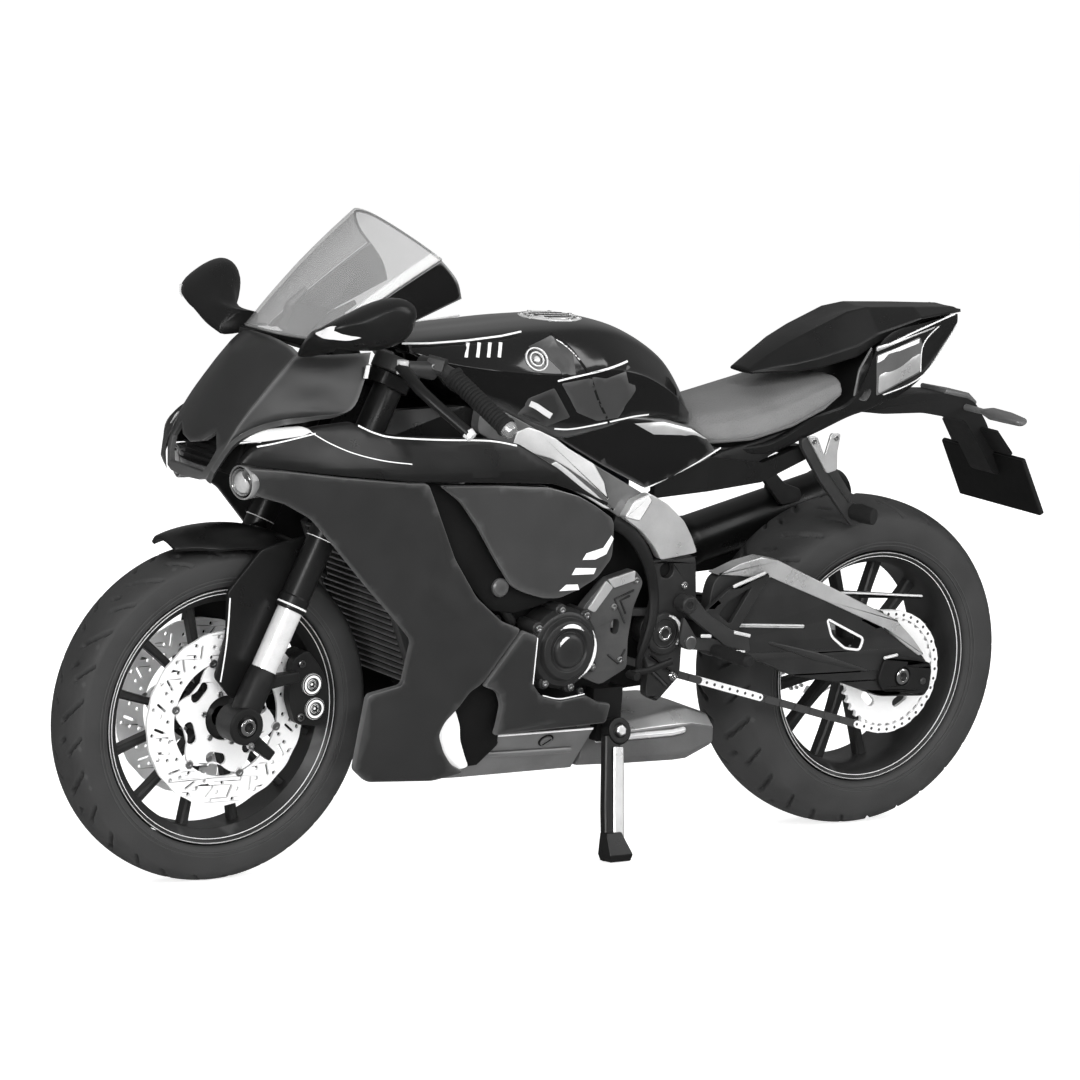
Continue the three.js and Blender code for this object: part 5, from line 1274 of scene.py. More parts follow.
for side, which in SIDES:
    part = Part(f"tank_print_and_painted_highlights_{which}", "chassis", LINE, DARK, POLISHED, SATIN, SHEEN, side=side)
    for x in (124.8, 122, 119.3, 116.6):  # four plain slashes
        mark(part, [(x + 0.45, 117.4), (x - 0.3, 117.3), (x - 1.9, 120.3), (x - 1.1, 120.4)],
             tank_side, 0, 0.1)
    x, z = 107.2, 116.6
    y = tank_side(x, z)
    for radius, wide in ((2.7, 0.34), (1.65, 0.3)):  # a plain double ring
        turned(part, (x, y - 0.5, z), (0.05, 0.86, 0.5),
               [(0, radius + wide / 2), (0.75, radius + wide / 2), (0.85, radius + wide / 4),
                (0.85, radius - wide / 4), (0.75, radius - wide / 2), (0, radius - wide / 2)], 2, 36)
    turned(part, (x, y - 0.4, z), (0.05, 0.86, 0.5), [(0, 0.8), (0.75, 0.7), (0.9, 0.4), (0.95, 0.1)],
           2, 24)
    ribbon(part, [(101.6, 122), (97.7, 119.1), (95.5, 115.7), (93.4, 112.1), (90.4, 107), (86.2, 101.8)],
           0.6, tank_side, 1, 0.1)
    # A pale line beside the strap: a painted highlight.
    ribbon(part, [(100.6, 120.9), (98.2, 119.2), (95.9, 116.6)], 0.28, tank_side, 0, 0.1)
    # A pale line along the crease: a painted highlight.
    ribbon(part, [(102.5, 112.2), (98, 113.1), (90.3, 114.5), (82.4, 116)], 0.4, tank_side, 0, 0.12)
    # A bright polished streak: a painted highlight.
    ribbon(part, [(109.2, 107.2), (107.4, 106.5), (105.3, 105.3), (103.2, 104.2)],
           1.3, tank_side, 2, 0.14)
    # A pale line along the lower edge: a painted highlight.
    ribbon(part, [(101.6, 101.2), (97, 101), (88.6, 101.9), (80, 103.1), (74.6, 103.4)],
           0.36, tank_side, 0, 0.1)
    # Grey satin patches: painted reflections on the tank's facets.
    for m, facet in ((4, [(101.4, 111.6), (93.7, 112.7), (82.4, 115.2), (80, 109.5), (83.9, 103.2),
                          (89.9, 102.6), (96.2, 104.8)]),
                     (3, [(112, 104.6), (109.6, 108.4), (103.2, 110.6), (98, 103.8), (104, 101.8)]),
                     (4, [(108.6, 119.4), (101.4, 121.8), (97.2, 118.6), (97.8, 113.4), (101.4, 112.4),
                          (101.4, 114.4), (104, 117)])):
        mark(part, rounded(facet, 0.5, 3), tank_side, m, 0.1)
    # A pale line along the top edge: a painted highlight.
    part.sweep([(138.6, 9.2, 119.9), (133, 11.6, 120.2), (124, 12.9, 120.9), (115, 13.1, 121.8),
                (109.6, 12.6, 122.6)], 0.24, 0, 8)
    part.done(sharp=50)

part = Part("filler_cap", "chassis", POLISHED, STEEL, DARK)
centre, axis = Vector((93.4, 0, 123.3)), Vector((0, 0, 1))
turned(part, centre, axis, [(-0.8, 7.4), (0.7, 7.4), (0.95, 7.1), (0.95, 6.0), (0.7, 5.8), (0.7, 5.5),
                            (1.05, 5.3), (1.1, 0.3)], 0, 48)
for i in range(8):
    a = pi * i / 4 + 0.2
    turned(part, centre + Vector((6.5 * cos(a), 6.5 * sin(a), 0.7)),
           axis, [(0, 0.55), (0.4, 0.55), (0.45, 0.42), (0.45, 0.26), (0.3, 0.22)], 1, 12)
for i in range(6):  # shallow ribs across the lid
    y = -3.2 + 1.28 * i
    reach = (4.9 ** 2 - y * y) ** 0.5
    part.beam([centre + Vector((reach, y, 1.1)), centre + Vector((-reach, y, 1.1))], (0.42, 0.24),
              2 if i % 2 else 1, chamfer=0.08)
part.done(bevel=0.08)

SEAT = [
    (60.4, [(0, 99.8), (4, 99.6), (6.4, 99), (7.6, 98.2), (8.4, 97.2), (7.6, 95.8), (0, 95.6)]),
    (58.6, [(0, 102), (5, 101.6), (8, 100.8), (9.8, 99.6), (10.8, 98.2), (10.2, 96), (0, 95.6)]),
    (55, [(0, 103.9), (5.4, 103.5), (9.6, 102.6), (11.4, 101), (12.6, 99.2), (12, 96), (0, 95.6)]),
    (45, [(0, 105.3), (6, 105), (11.6, 104.2), (13.6, 102.8), (15, 100.8), (14.4, 97), (0, 96.4)]),
    (34, [(0, 107.2), (6, 107.2), (11.6, 106.8), (13.8, 105.4), (15, 103.6), (14.2, 99.6), (0, 99)]),
    (24, [(0, 109.6), (5.6, 109.6), (10.4, 109.4), (12.6, 108.4), (13.8, 107), (13.2, 103.4),
          (0, 102.8)]),
    (17.5, [(0, 110.4), (5, 110.4), (9, 110.1), (11, 109.4), (12, 108.4), (11.6, 106.4), (0, 106)]),
]
part = Part("rider_seat_pad", "chassis", VINYL)
hull(part, SEAT, 6, 4)
part.done(sharp=70, replaces=["rider_seat"])
part = Part("rider_seat_base", "chassis", GREY)
for side in (1, -1):
    part.sweep([(60, side * 8.9, 96), (55, side * 12.4, 96.2), (45, side * 14.9, 97.2),
                (34, side * 14.9, 99.9), (24, side * 13.8, 103.5), (18, side * 12.1, 106.4)],
                [(0.5, 0.5), (0.6, 0.7), (0.6, 0.8), (0.6, 0.8), (0.6, 0.7), (0.4, 0.5)], 0, 10)
part.done()



def twinned(stations):
    """Straight-sided rings: each half outline of (y, z) and its mirror image."""
    return [[(x, y, z) for y, z in half] + [(x, -y, z) for y, z in half[-2:0:-1]] for x, half in stations]


PILLION = [
    (38.4, [(0, 111.4), (3, 111.2), (4.2, 110.8), (4, 110.2), (0, 110)]),
    (34, [(0, 114.6), (3.6, 114.2), (6.4, 112.2), (6.4, 110.8), (0, 110.6)]),
    (28, [(0, 118.3), (4.6, 117.8), (8.4, 113.4), (8.6, 111.2), (0, 111)]),
    (22, [(0, 120.9), (5.2, 120.6), (9.6, 114.8), (9.8, 112.2), (0, 111.8)]),
    (12, [(0, 124.1), (5.2, 124.8), (10.1, 117.4), (10.3, 114.6), (0, 114.2)]),
    (6, [(0, 125.5), (5, 125.8), (9.9, 120.2), (10.1, 117.8), (0, 117.4)]),
    (-8, [(0, 125.5), (4.6, 125.6), (8.2, 123.4), (8.4, 122.4), (0, 122)]),
    (-21.6, [(0, 125.2), (3.4, 125.3), (6.1, 124.9), (6.2, 124.6), (0, 124.4)]),
]
part = Part("pillion_cowl", "chassis", INK)
part.rings(twinned(PILLION))
part.done(bevel=0.45, segments=3, sharp=12, replaces=["pillion_pad"])

TAILS = [
    (57, [(0, 94.9), (8, 94.9), (12, 94.9), (12.7, 94.6), (12.8, 94.2), (12.4, 94), (8, 93.9),
          (0, 93.9)]),
    (40, [(0, 95.9), (9, 95.9), (13.6, 95.8), (14.5, 95.4), (14.6, 94.8), (13.6, 93), (9, 92.6),
          (0, 92.5)]),
    (26, [(0, 101.1), (9, 101.3), (13, 101.5), (13.7, 101.2), (13.8, 100.6), (12.8, 97), (8, 96),
          (0, 95.8)]),
    (14, [(0, 105.3), (9, 105.5), (12, 105.7), (12.7, 105.3), (12.8, 104.6), (11.6, 101), (7, 99.8),
          (0, 99.5)]),
    (6, [(0, 116.7), (8.4, 116.8), (11.4, 118.6), (12, 118.7), (12.2, 118), (11.9, 104.4), (7, 102.2),
         (0, 101.8)]),
    (-8, [(0, 118.9), (7, 119.7), (9.4, 122), (9.8, 122.1), (9.9, 121.5), (9.7, 110), (6, 107.2),
          (0, 106.8)]),
    (-20, [(0, 123.3), (4, 123.5), (6.6, 124), (7, 124), (7.2, 123.8), (7.1, 121.8), (4, 121),
           (0, 120.9)]),
]
part = Part("tail_fairing", "chassis", INK)
hull(part, TAILS, 5, 4)
part.done(sharp=50, replaces=["tail_cowl"])


def tail_side(x, _):
    return spline([57, 40, 26, 14, 6, -8, -20], [12.85, 14.5, 13.5, 12.7, 12.3, 9.95, 7.2], x) + 0.12


for side, which in SIDES:
    part = Part(f"tail_side_panel_{which}", "chassis", GREY, GLOSS, LINE, SILVER, side=side)
    part.panel(rounded([(8.2, 115.4), (-6.4, 119.3), (-7.4, 117.2), (-7.6, 110.6), (7.2, 105.6)], 0.8, 4),
               tail_side, 0.5, 1.4, 0, lip=0.3)
    part.panel(rounded([(8.2, 117.4), (-15, 122.6), (-15.3, 121.4), (-6, 119.8), (8.2, 116.2)], 0.4, 3),
               tail_side, 0.5, 1.4, 3, lip=0.2)
    # A pale line along the panel's rear edge: a painted highlight.
    ribbon(part, [(-7.4, 110.8), (-7.6, 117.4), (-13.4, 121.6), (-18.6, 122.3)], 0.26, tail_side, 2, 0.06)
    part.panel(rounded([(13, 112), (9.4, 117.6), (8.6, 106.2), (10, 104.4), (14, 105)], 1.0, 4),
               lambda x, z: tail_side(x, z) - 0.2, 0.5, 1.4, 1, lip=0.3)
    # A pale line along the top and a pale strip below it: painted highlights.
    ribbon(part, [(5.4, 117.6), (-6, 121), (-18.6, 124.1)], 0.34, tail_side, 2, 0.1)
    mark(part, [(7.8, 115.2), (-6, 118.8), (-6, 117.8), (7.8, 113.6)], tail_side, 2, 0.06)
    mark(part, rounded([(7, 110.6), (-7, 115.4), (-7.2, 111), (6.8, 106.2)], 0.8, 3), tail_side, 3, 0.06)
    # A pale line along the lower edge: a painted highlight.
    ribbon(part, [(5, 105.9), (-8.6, 110), (-19.6, 121)], 0.22, tail_side, 2, 0.04)
    part.done(sharp=50)

    # Side cover under the seat, with a thin pale line along its edge that is a painted highlight.
    part = Part(f"side_cover_{which}", "chassis", GLOSS, LINE, MOULDED, SILVER, side=side)
    cover = lambda x, z: spline([112, 84, 74, 62, 50, 34], [15.4, 16.7, 16.8, 16.6, 15.2, 13.8],
                                x) - 0.10 * max(0, z - 92)
    part.panel(rounded([(112, 104.6), (98.9, 98.4), (87.5, 92.4), (74.8, 86.6), (68.7, 88.3), (62, 91.2),
                        (55.2, 94.6), (58.6, 98), (62.5, 100.4), (70.6, 102.4), (84, 103.4), (100.8, 104),
                        (108, 108)], 1, 3), cover, 1.0, 1.5, 0, lip=0.35)
    # A silver crescent on the gloss cover: a painted reflection.
    mark(part, [(79, 101.6), (71, 101.8), (63, 100), (58, 97.4), (65.7, 98.6), (73.6, 99)],
         cover, 3, 0.05)
    ribbon(part, [(75.4, 86.8), (68.7, 88.9), (62, 91.8), (53.8, 95.2)], 0.3, cover, 1, 0.08)
    part.panel(rounded([(74, 85.4), (68.7, 87.6), (62, 90.6), (53.8, 94), (42, 96.2), (30, 99.2),
                        (22, 101.4), (24, 99), (34, 94), (46, 89.4), (58, 86.6), (66, 84.6)], 1, 3),
                        lambda x, z: cover(x, z) - 0.5, 1.0, 1.6, 2, lip=0.35)
    part.done(sharp=50)

part = Part("tail_lamp", "chassis", LENS)
part.beam([(-18.5, 0, 122.8), (-20.6, 0, 122.6)], [(1.4, 11), (1.0, 10)], 0, chamfer=0.5)
part.done(bevel=0.15)

# Number-light arm, blank plate and indicators.
part = Part("number_plate_holder", "chassis", MOULDED, GREY, DARK, STEEL)
arm = rounded([(6, 100.6), (-2, 103.2), (-12, 104.8), (-24, 104.4), (-30, 102), (-34, 97), (-38.4, 89),
               (-40.6, 84), (-37.6, 84), (-33.4, 90), (-27, 97.6), (-14, 99.8), (-2, 99.8)], 1.5, 4)
part.plate(arm, -4.4, 4.4, 0)
part.beam([(-20, 0, 105), (-27.6, 0, 103.6), (-30.6, 0, 101.6)], [(1.2, 10), (1.5, 9.4), (1.2, 8)],
          1, chamfer=0.5)
part.plate([(-37.4, 90), (-36.7, 89.2), (-44, 75.6), (-45.1, 76.2)], -15.4, 15.4, 2)
for s in (1, -1):  # folded side rims of the plate
    part.beam([(-37.3, s * 15, 89.6), (-44.8, s * 15, 76)], (1.2, 0.9), 0, chamfer=0.2)
part.beam([(-37.2, 0, 89.6), (-37.25, 0, 89.5)], (1, 30.6), 0, chamfer=0.2)
part.beam([(-32.4, 0, 95.8), (-36.9, 0, 90.2)], [(1.0, 21), (1.0, 23)], 0, chamfer=0.3)
for s in (1, -1):
    for t in (0.22, 0.78):
        spot = Vector((-37.3, s * 8, 89.6)).lerp(Vector((-44.8, s * 8, 76)), t)
        turned(part, spot + Vector((-0.2, 0, 0.1)), (-0.87, 0, 0.48),
               [(0, 0.8), (0.7, 0.8), (0.9, 0.5), (0.9, 0.1)], 3, 12)
part.done(bevel=0.2, replaces=["plate_holder"])
# The left stalk in grey and the right in black: lit and shaded copies, painted light.
for side, which, finish in ((1, "left", GREY), (-1, "right", MOULDED)):
    part = Part(f"rear_indicator_{which}", "chassis", finish, side=side)
    part.sweep([(-27, 4, 100.9), (-27.3, 12, 100.8)], [(0.8, 0.7), (0.7, 0.6)], 0, 14)
    part.sweep([(-27.3, 11, 100.8), (-27.4, 14, 100.8), (-27.4, 20, 100.8), (-27.4, 24.6, 100.6),
                (-27.2, 25.9, 100.5)], [(0.9, 0.8), (2.0, 1.5), (2.3, 1.4), (1.9, 1.1), (0.8, 0.4)],
                0, 20, up=(0, 0, 1))
    part.done(sharp=50)

# ---- frame, engine and covers ------------------------------------------------------------------------
BEAM = rounded([(122, 108.4), (109, 102.4), (91, 93.2), (80, 87.6), (74.6, 84.8), (72, 80), (76.5, 76),
                (84.6, 81.8), (97, 87.5), (116, 97.7), (122.8, 101.2)], 1.6, 4)
UPPER_PLATE = rounded([(82.8, 80.8), (80.6, 84.6), (76.2, 86.2), (71, 83.6), (66, 79.5), (63.4, 75.6),
                       (61.6, 71.9), (71.8, 70.6), (73.6, 73.4), (77.6, 77.4)], 0.8, 3)
LOWER_PLATE = rounded([(74.5, 70.4), (61.9, 71.2), (60.8, 61), (63.6, 57.9), (64, 50.1), (63.9, 43.3),
                       (70, 37.4), (73.3, 39.2), (72.9, 45.9), (75, 49.1), (73.7, 55.3), (72.3, 62.4)],
                       1.2, 4)


def painted_highlight_arc(part, centre, radius, start, span, y, thick, m):
    """A painted highlight: a pale arc that fades out at both ends."""
    spots = [polar(centre, radius, radians(start + span * k / 10)) for k in range(11)]
    part.sweep([(x, y, z) for x, z in spots], [(0.06 + 0.5 * sin(pi * k / 10), thick) for k in range(11)],
               m, 8)


for side, which in SIDES:
    part = Part(f"frame_beam_{which}", "chassis", GLOSS, SILVER, POWDER, CHROME, DARK, LINE, POLISHED,
                side=side)
    part.plate(BEAM, 14.5, 17.7, 0)
    part.plate(UPPER_PLATE, 17.5, 20.1, 1)
    part.plate(LOWER_PLATE, 17.4, 20.0, 2, [circle(69.8, 68.2, 1.9, 28), circle(*PIVOT, 2.2, 32)])
    part.knob([(17.6, 1.95), (18.6, 1.9), (18.7, 0.2)], 69.8, 68.2, 4, 24)
    part.knob([(19.4, 5.1), (20.6, 5.0), (20.9, 4.7), (20.9, 3.4), (20.5, 3.2), (20.5, 2.4)],
              *PIVOT, 2, 40)
    # A pale arc round the pivot boss: a painted highlight.
    painted_highlight_arc(part, PIVOT, 4.2, 100, 120, 20.95, 0.12, 5)
    for x, z, end_x, end_z in ((73.2, 48.6, 66.8, 44.4), (72.8, 45.4, 67.4, 41)):  # ribs
        part.beam([(x, 20.1, z), (end_x, 20.1, end_z)], (0.9, 0.5), 2, chamfer=0.15)
    # Polished strips on the plate and along the beam: painted highlights.
    part.plate(rounded([(82.8, 81), (80.6, 84.4), (76.6, 85.8), (75.6, 84.6), (78.6, 80)], 0.4),
               20.0, 20.35, 6)
    for painted_highlight_strip in ([(113.4, 97.2), (112.2, 101), (109.2, 101.9), (106.1, 101), (101.6, 99.1), (98.2, 96.9),
                   (90.7, 93), (87.6, 88.8),
                   (86, 84.6), (92, 88.9), (97.8, 92.3), (102.3, 94.5), (109, 96.3)],
                  [(105.7, 92.6), (103.3, 93), (101.2, 94), (97.7, 91.9), (90.8, 87), (84, 82.2),
                   (87.1, 82.8), (95.2, 87.2), (100.7, 88.8)]):
        part.plate(rounded(painted_highlight_strip, 0.5, 3), 17.5, 17.85, 6)
    part.bolt(66, 19.9, 43.4, 1.1, 0.7, 3)
    part.bolt(64.6, 19.9, 64.4, 0.9, 0.6, 3)
    part.done(bevel=0.3, replaces=[f"frame_spar_{which}"])

part = Part("generator_cover", "chassis", POWDER, STEEL, LINE, CAST, SILVER)
part.knob([(15, 9.3), (21, 9.3), (21.5, 8.9), (22.2, 8.5), (22.5, 7.9), (22.5, 7.3), (22.9, 7.0),
           (23.6, 6.6), (23.8, 6), (23.8, 5), (23.4, 4.6), (23.3, 4.1), (23.9, 3.8), (24.3, 3.4),
           (24.5, 2.6), (24.5, 0.2)], *CRANK, 0, 48)
for i in range(7):
    a = radians(-150 + i * 46)
    part.knob([(15, 1.5), (21.6, 1.5), (21.9, 1.2), (21.9, 0.1)], *polar(CRANK, 9, a), 0, 16)
    x, z = polar(CRANK, 9.1, a)
    part.bolt(x, 21.8, z, 0.85, 0.6, 1)
for radius, start, span, y in ((5.6, 60, 70, 23.75), (3.2, 20, 60, 24.3),
                               (8.0, 150, 90, 22.4)):  # pale arcs on the steps: painted highlights
    painted_highlight_arc(part, CRANK, radius, start, span, y, 0.15, 2)
cover = rounded([(92.4, 61.6), (87, 67.1), (79.4, 69), (76.8, 66), (79.2, 60), (80, 52.8), (79.7, 46.2),
                 (87, 42.6), (93, 45.2), (97.6, 52)], 1.2, 4)
part.plate(cover, 18.4, 20.9, 3, [slot_hole(83.9, 56, 1.2, 1.15, pi / 2, 8)])
for facet in ([(92, 60.4), (87.4, 66.8), (85.4, 65.2), (90, 59.6)],
              [(87, 67), (79.5, 68.8), (79.6, 66.4), (85.2, 65)]):
    part.plate(rounded(facet, 0.4, 2), 20.7, 21.35, 4)
for path in ([(79.3, 64.2), (84.6, 62.4), (81.2, 56.6)], [(80.4, 63), (83, 62), (81.2, 58.8)],
             [(80.6, 50.6), (82.4, 47.4), (85.4, 49.6)]):
    part.sweep([(x, 20.95, z) for x, z in path], [(0.3, 0.25)] * 3, 0, 8)
for x, z in ((88.6, 63.2), (81.8, 48.2), (78.9, 66.4), (84.6, 60.6)):
    part.bolt(x, 20.8, z, 0.8, 0.45, 1)
part.done(bevel=0.15, replaces=["left_engine_cover"])

for side, which in SIDES:
    part = Part(f"engine_side_shroud_{which}", "chassis", MOULDED, DARK, side=side)
    part.plate(rounded([(96, 84), (76, 83), (66, 77), (60.6, 70), (60.4, 47), (66, 40), (86, 38.6),
                        (100, 44), (108, 60), (104, 76)], 2, 4), 11.6, 12.8, 1)
    hose = [(84.1, 17.2, 79.4), (80.7, 18.2, 77.8), (77, 19, 73.8), (74.2, 19.4, 68.5),
            (72.7, 19.5, 62.8), (73.2, 20.4, 57.1), (74.9, 20.6, 51.5), (75.8, 20, 47.4),
            (75, 19.4, 43.9)]
    part.sweep(drawn(hose, 4), [(1.75 - 1.15 * (k / 32) ** 1.4, 0.9 - 0.3 * k / 32) for k in range(33)],
               0, 16)
    part.done(bevel=0.2)

part = Part("engine_dressing", "chassis", POWDER, STEEL)
for side in (1, -1):
    for x, z in ((108, 64), (112, 58), (114, 42), (102, 38), (88, 40)):
        part.bolt(x, 14.5, z, 0.9, 0.7, 1, side)
    for k in range(5):  # ribs on the cylinder block
        z = 66 + 3.2 * k
        part.beam([(101 + 1.4 * k, side * 14.9, z), (122 + 0.6 * k, side * 14.9, z + 3)], (0.8, 0.9),
                  0, chamfer=0.2)
    part.sweep([(108, side * 14.6, 57), (112, side * 18, 60), (117, side * 19, 66),
                (122, side * 18.4, 76)], 1.1, 0, 12)
part.knob([(14, 9.8), (21, 9.7), (21.6, 9.2), (22.2, 8), (22.4, 5), (22.9, 4.4), (22.9, 0.2)],
          *CRANK, 0, 48, -1)
for a in angles(8):
    x, z = polar(CRANK, 8.6, a)
    part.bolt(x, 21.3, z, 0.85, 0.6, 1, -1)
part.done(bevel=0.12)

# ---- cooling, belly and exhaust ----------------------------------------------------------------------
part = Part("radiator_core", "chassis", DARK, GREY, POWDER)
low, high = Vector((133.2, 0, 43.4)), Vector((147, 0, 76.4))
slope = (high - low).normalized()
out = Vector((slope.z, 0, -slope.x))
for s in (1, -1):
    part.beam([low + Vector((-1.4, s * 14.3, 0.5)), high + Vector((-1.4, s * 14.3, 0.5))], (3.0, 2.2),
              2, chamfer=0.5)
part.beam([low - out * 1.7, high - out * 1.7], (1.6, 27), 0, chamfer=0.3)
for k in range(22):
    here = low.lerp(high, (k + 0.5) / 22) - out * 0.75
    part.beam([here - slope * 0.24, here + slope * 0.24], (1.5, 26.4), 1, chamfer=0.1)
part.done(bevel=0.06, segments=1, replaces=["radiator"])

part = Part("belly_details", "chassis", GREY, DARK, LINE)
for side in (1, -1):
    normal = Vector((0, side * 0.812, -0.584))
    for x in (113.4, 98.2):
        spot = Vector((x, side * 17.3, 29.75))
        turned(part, spot - normal * 0.3, normal, [(0, 1.9), (0.45, 1.9), (0.5, 1.75), (0.5, 1.55)],
               1, 28)
        turned(part, spot - normal * 0.3, normal, [(0, 1.5), (0.75, 1.5), (0.9, 1.3), (0.9, 0.05)], 0, 28)
        across = Vector((0.6, -0.4 * side, -0.56)).normalized()
        part.sweep([spot + normal * 0.55 - across * 1.2, spot + normal * 0.55 + across * 1.2], 0.22, 1, 6)
    part.sweep([(118, side * 16.4, 27.6), (108, side * 15.9, 26.9), (90, side * 15.6, 26.6)],
               [(0.2, 0.2), (0.7, 0.5), (0.7, 0.5)], 0, 10)
    # A pale line along the top edge of the belly: a painted highlight.
    part.sweep([(116.8, side * 19, 32.1), (86.6, side * 19, 32.1)], 0.26, 2, 8)
part.done()

part = Part("exhaust_chamber", "chassis", GREY, LINE, SILVER)
EXHAUST_BOX = [
    (85.6, [(0, 31), (9, 31), (11.4, 30.8), (13.3, 29.4), (13.5, 23.6), (12, 21.8), (9, 21.5),
            (0, 21.5)]),
    (72, [(0, 31.3), (9, 31.3), (11.4, 31.2), (13.7, 29.4), (13.9, 23.4), (12.2, 21.4), (9, 21.1),
          (0, 21.1)]),
    (58, [(0, 33.2), (8, 33.2), (10.4, 33), (13.2, 29.8), (13.5, 23.2), (11.8, 21.1), (9, 20.9),
          (0, 20.9)]),
    (54, [(0, 33.2), (8, 33.2), (10, 33), (13, 29.8), (13.3, 23.4), (11.4, 21.2), (9, 21), (0, 21)]),
    (46.4, [(0, 30.8), (6, 30.8), (8.4, 30.6), (11.3, 28.2), (11.5, 24.8), (10, 23.6), (8, 23.5),
            (0, 23.5)]),
]
part.rings(twinned(EXHAUST_BOX))
part.bm.normal_update()
for face in part.bm.faces:  # upward-facing facets in the bright silver: a painted highlight on the top
    if face.normal.z > 0.4:
        face.material_index = 2
# Pale lines along the upper side edges: painted highlights.
for side in (1, -1):
    part.beam([(82, side * 13.85, 28), (60, side * 13.75, 28.2), (56, side * 13.2, 28.6)], (1.0, 0.5),
              1, chamfer=0.1)
part.done(bevel=0.55, segments=3, sharp=18, replaces=["exhaust_box"])

part = Part("exhaust_silencer", "chassis", INK, STEEL)
part.sweep([(60, -15.6, 27.6), (54, -22.2, 38.2), (47, -22.6, 47), (44, -22.4, 53), (41.4, -20.2, 61),
            (38, -19, 65.6)], [2.2, 2.3, 2.3, 2.4, 2.8, 3.4], 1, 24)
can = [(0, 4.4), (0.02, 6.2), (0.06, 6.4), (0.1, 6.4), (0.11, 6.2), (0.86, 5.9), (0.87, 6.1), (0.92, 6.1),
       (0.95, 5.8), (1.0, 4.4), (1.0, 3.4), (0.94, 3.2)]
start, end = Vector((40, -19.8, 64.8)), Vector((-9.8, -19.8, 77.8))
part.sweep(*between(start, end, can), 0, 32)
# Heat shield under the silencer.
part.plate(rounded([(46, 66), (43.6, 60.4), (38, 58.8), (28, 59.4), (20, 62), (15.6, 67), (20, 70),
                    (44, 66)], 1.6, 3), -22.4, -17.2, 0)
part.done(sharp=40, replaces=["silencer"])

# ---- swingarm, pegs and stand ------------------------------------------------------------------------
LEFT_ARM = [(57.8, 62.6), (56.6, 66.2), (50.2, 68.6), (44.2, 69.8), (39.3, 68.9), (19.8, 60.3), (2, 52.6),
            (-2.7, 48.2), (-6.6, 44.1), (-9.3, 41), (-8.7, 34.4), (6, 35.1), (17.2, 39), (32.3, 41.6),
            (43, 46), (50.7, 47.3), (57.9, 47.7)]
BANDS = [[(56.6, 66.8), (50.2, 69.2), (44.2, 70.4), (39.3, 69.5), (40.2, 65.4), (47.4, 65.9)],
         [(39.8, 69.7), (19.8, 60.9), (2, 53.2), (6.2, 51.7), (23.9, 58.9), (40.7, 65.4)],
         [(2.6, 53.4), (-2.7, 48.8), (-6.4, 44.7), (-4.8, 44.5), (-0.5, 47.2), (6.8, 51.9)]]
WINDOW = rounded([(23.4, 54.8), (12, 49.5), (12.9, 46.7), (17.4, 47.4), (21.6, 50.4)], 1.0, 3)
part = Part("swingarm_beam", "swingarm", POWDER, SILVER, LINE, CAST, CHROME, DARK, MOULDED)
part.plate(rounded(LEFT_ARM, 2, 4), 17.7, 21.2, 0, [WINDOW])
for band in BANDS:
    part.plate(rounded(band, 0.3, 2), 17.6, 21.7, 1)
# A pale line round the window and one along the side: painted highlights.
part.sweep([(x, 21.15, z) for x, z in WINDOW], 0.28, 2, 8, closed=True)
part.beam([(49, 21.25, 54.5), (30, 21.25, 53.3)], (0.7, 0.3), 2, chamfer=0.1)
part.sweep([(40, 21.0, 50), (26, 21, 46), (10, 21, 41.6)], [(0.5, 0.3), (1.2, 0.5), (0.5, 0.3)], 0, 12)
right = rounded([(58, 55.4), (44, 55.6), (30, 53.6), (10.4, 49), (-1, 46.4), (-8, 43.2), (-9.5, 40.8),
                 (-8.7, 34.2), (3.7, 34.6), (14.6, 37), (29.7, 40), (40.4, 44.4), (48.1, 46.6),
                 (58, 47.6)], 2, 4)
part.plate(right, -18.3, -15.1, 0, [rounded([(26, 50), (12, 46.6), (14, 42), (26, 44.4)], 1.4, 3)])
part.beam([(50.8, -18, 52), (50.8, 21, 52)], (13, 7.2), 0, up=(0, 0, 1), chamfer=1)
part.beam([(60.4, -11.2, 52.9), (60.4, 10.4, 52.9)], (18, 4.8), 0, up=(0, 0, 1), chamfer=0.8)
turned(part, (PIVOT[0], -16.4, PIVOT[1]), (0, 1, 0), [(0, 3.9), (32.8, 3.9), (32.8, 0.2)], 0, 32)
turned(part, (PIVOT[0], -21.1, PIVOT[1]), (0, 1, 0),
       [(0, 1.0), (0, 1.85), (42.2, 1.85), (42.2, 1.1), (41, 1.0)], 4, 24)
for y, s in ((21.1, 1), (-18.3, -1)):  # chain adjuster blocks and nuts
    part.plate(rounded([(5.8, 44.4), (1.6, 45), (-8.0, 42.8), (-8.8, 40.9), (-8.4, 35.9), (-5.5, 34.9),
                        (1.1, 36.3), (5.4, 36.4), (7.4, 39.3)], 1.2, 4), *sorted((y, y + s * 1.1)),
                        6, [circle(*REAR_AXLE, 2.3, 28)])
    part.bolt(-6.2, abs(y) + 1.0, 38.4, 0.8, 0.5, 3, s)
    # A pale line on the adjuster block: a painted highlight.
    part.beam([(6.2, y + s * 1.15, 44.6), (2, y + s * 1.15, 45.2)], (0.6, 0.3), 2, chamfer=0.1)
part.beam([(26, 16.9, 60), (14, 17.0, 59.4), (-7, 17, 57.8)], [(0.9, 3.2), (1.2, 3.4), (0.6, 2.8)],
          5, chamfer=0.2)
# A pale line along the top of the dark bar: a painted highlight.
part.beam([(24, 18.7, 60.4), (14, 18.8, 60), (-7, 18.5, 58.2)], (0.4, 0.25), 2, chamfer=0.08)
part.beam([(14, 18.2, 59.4), (14, 19, 56.4)], (3, 1.2), 5, chamfer=0.2)
part.done(bevel=0.28, replaces=["swingarm"])

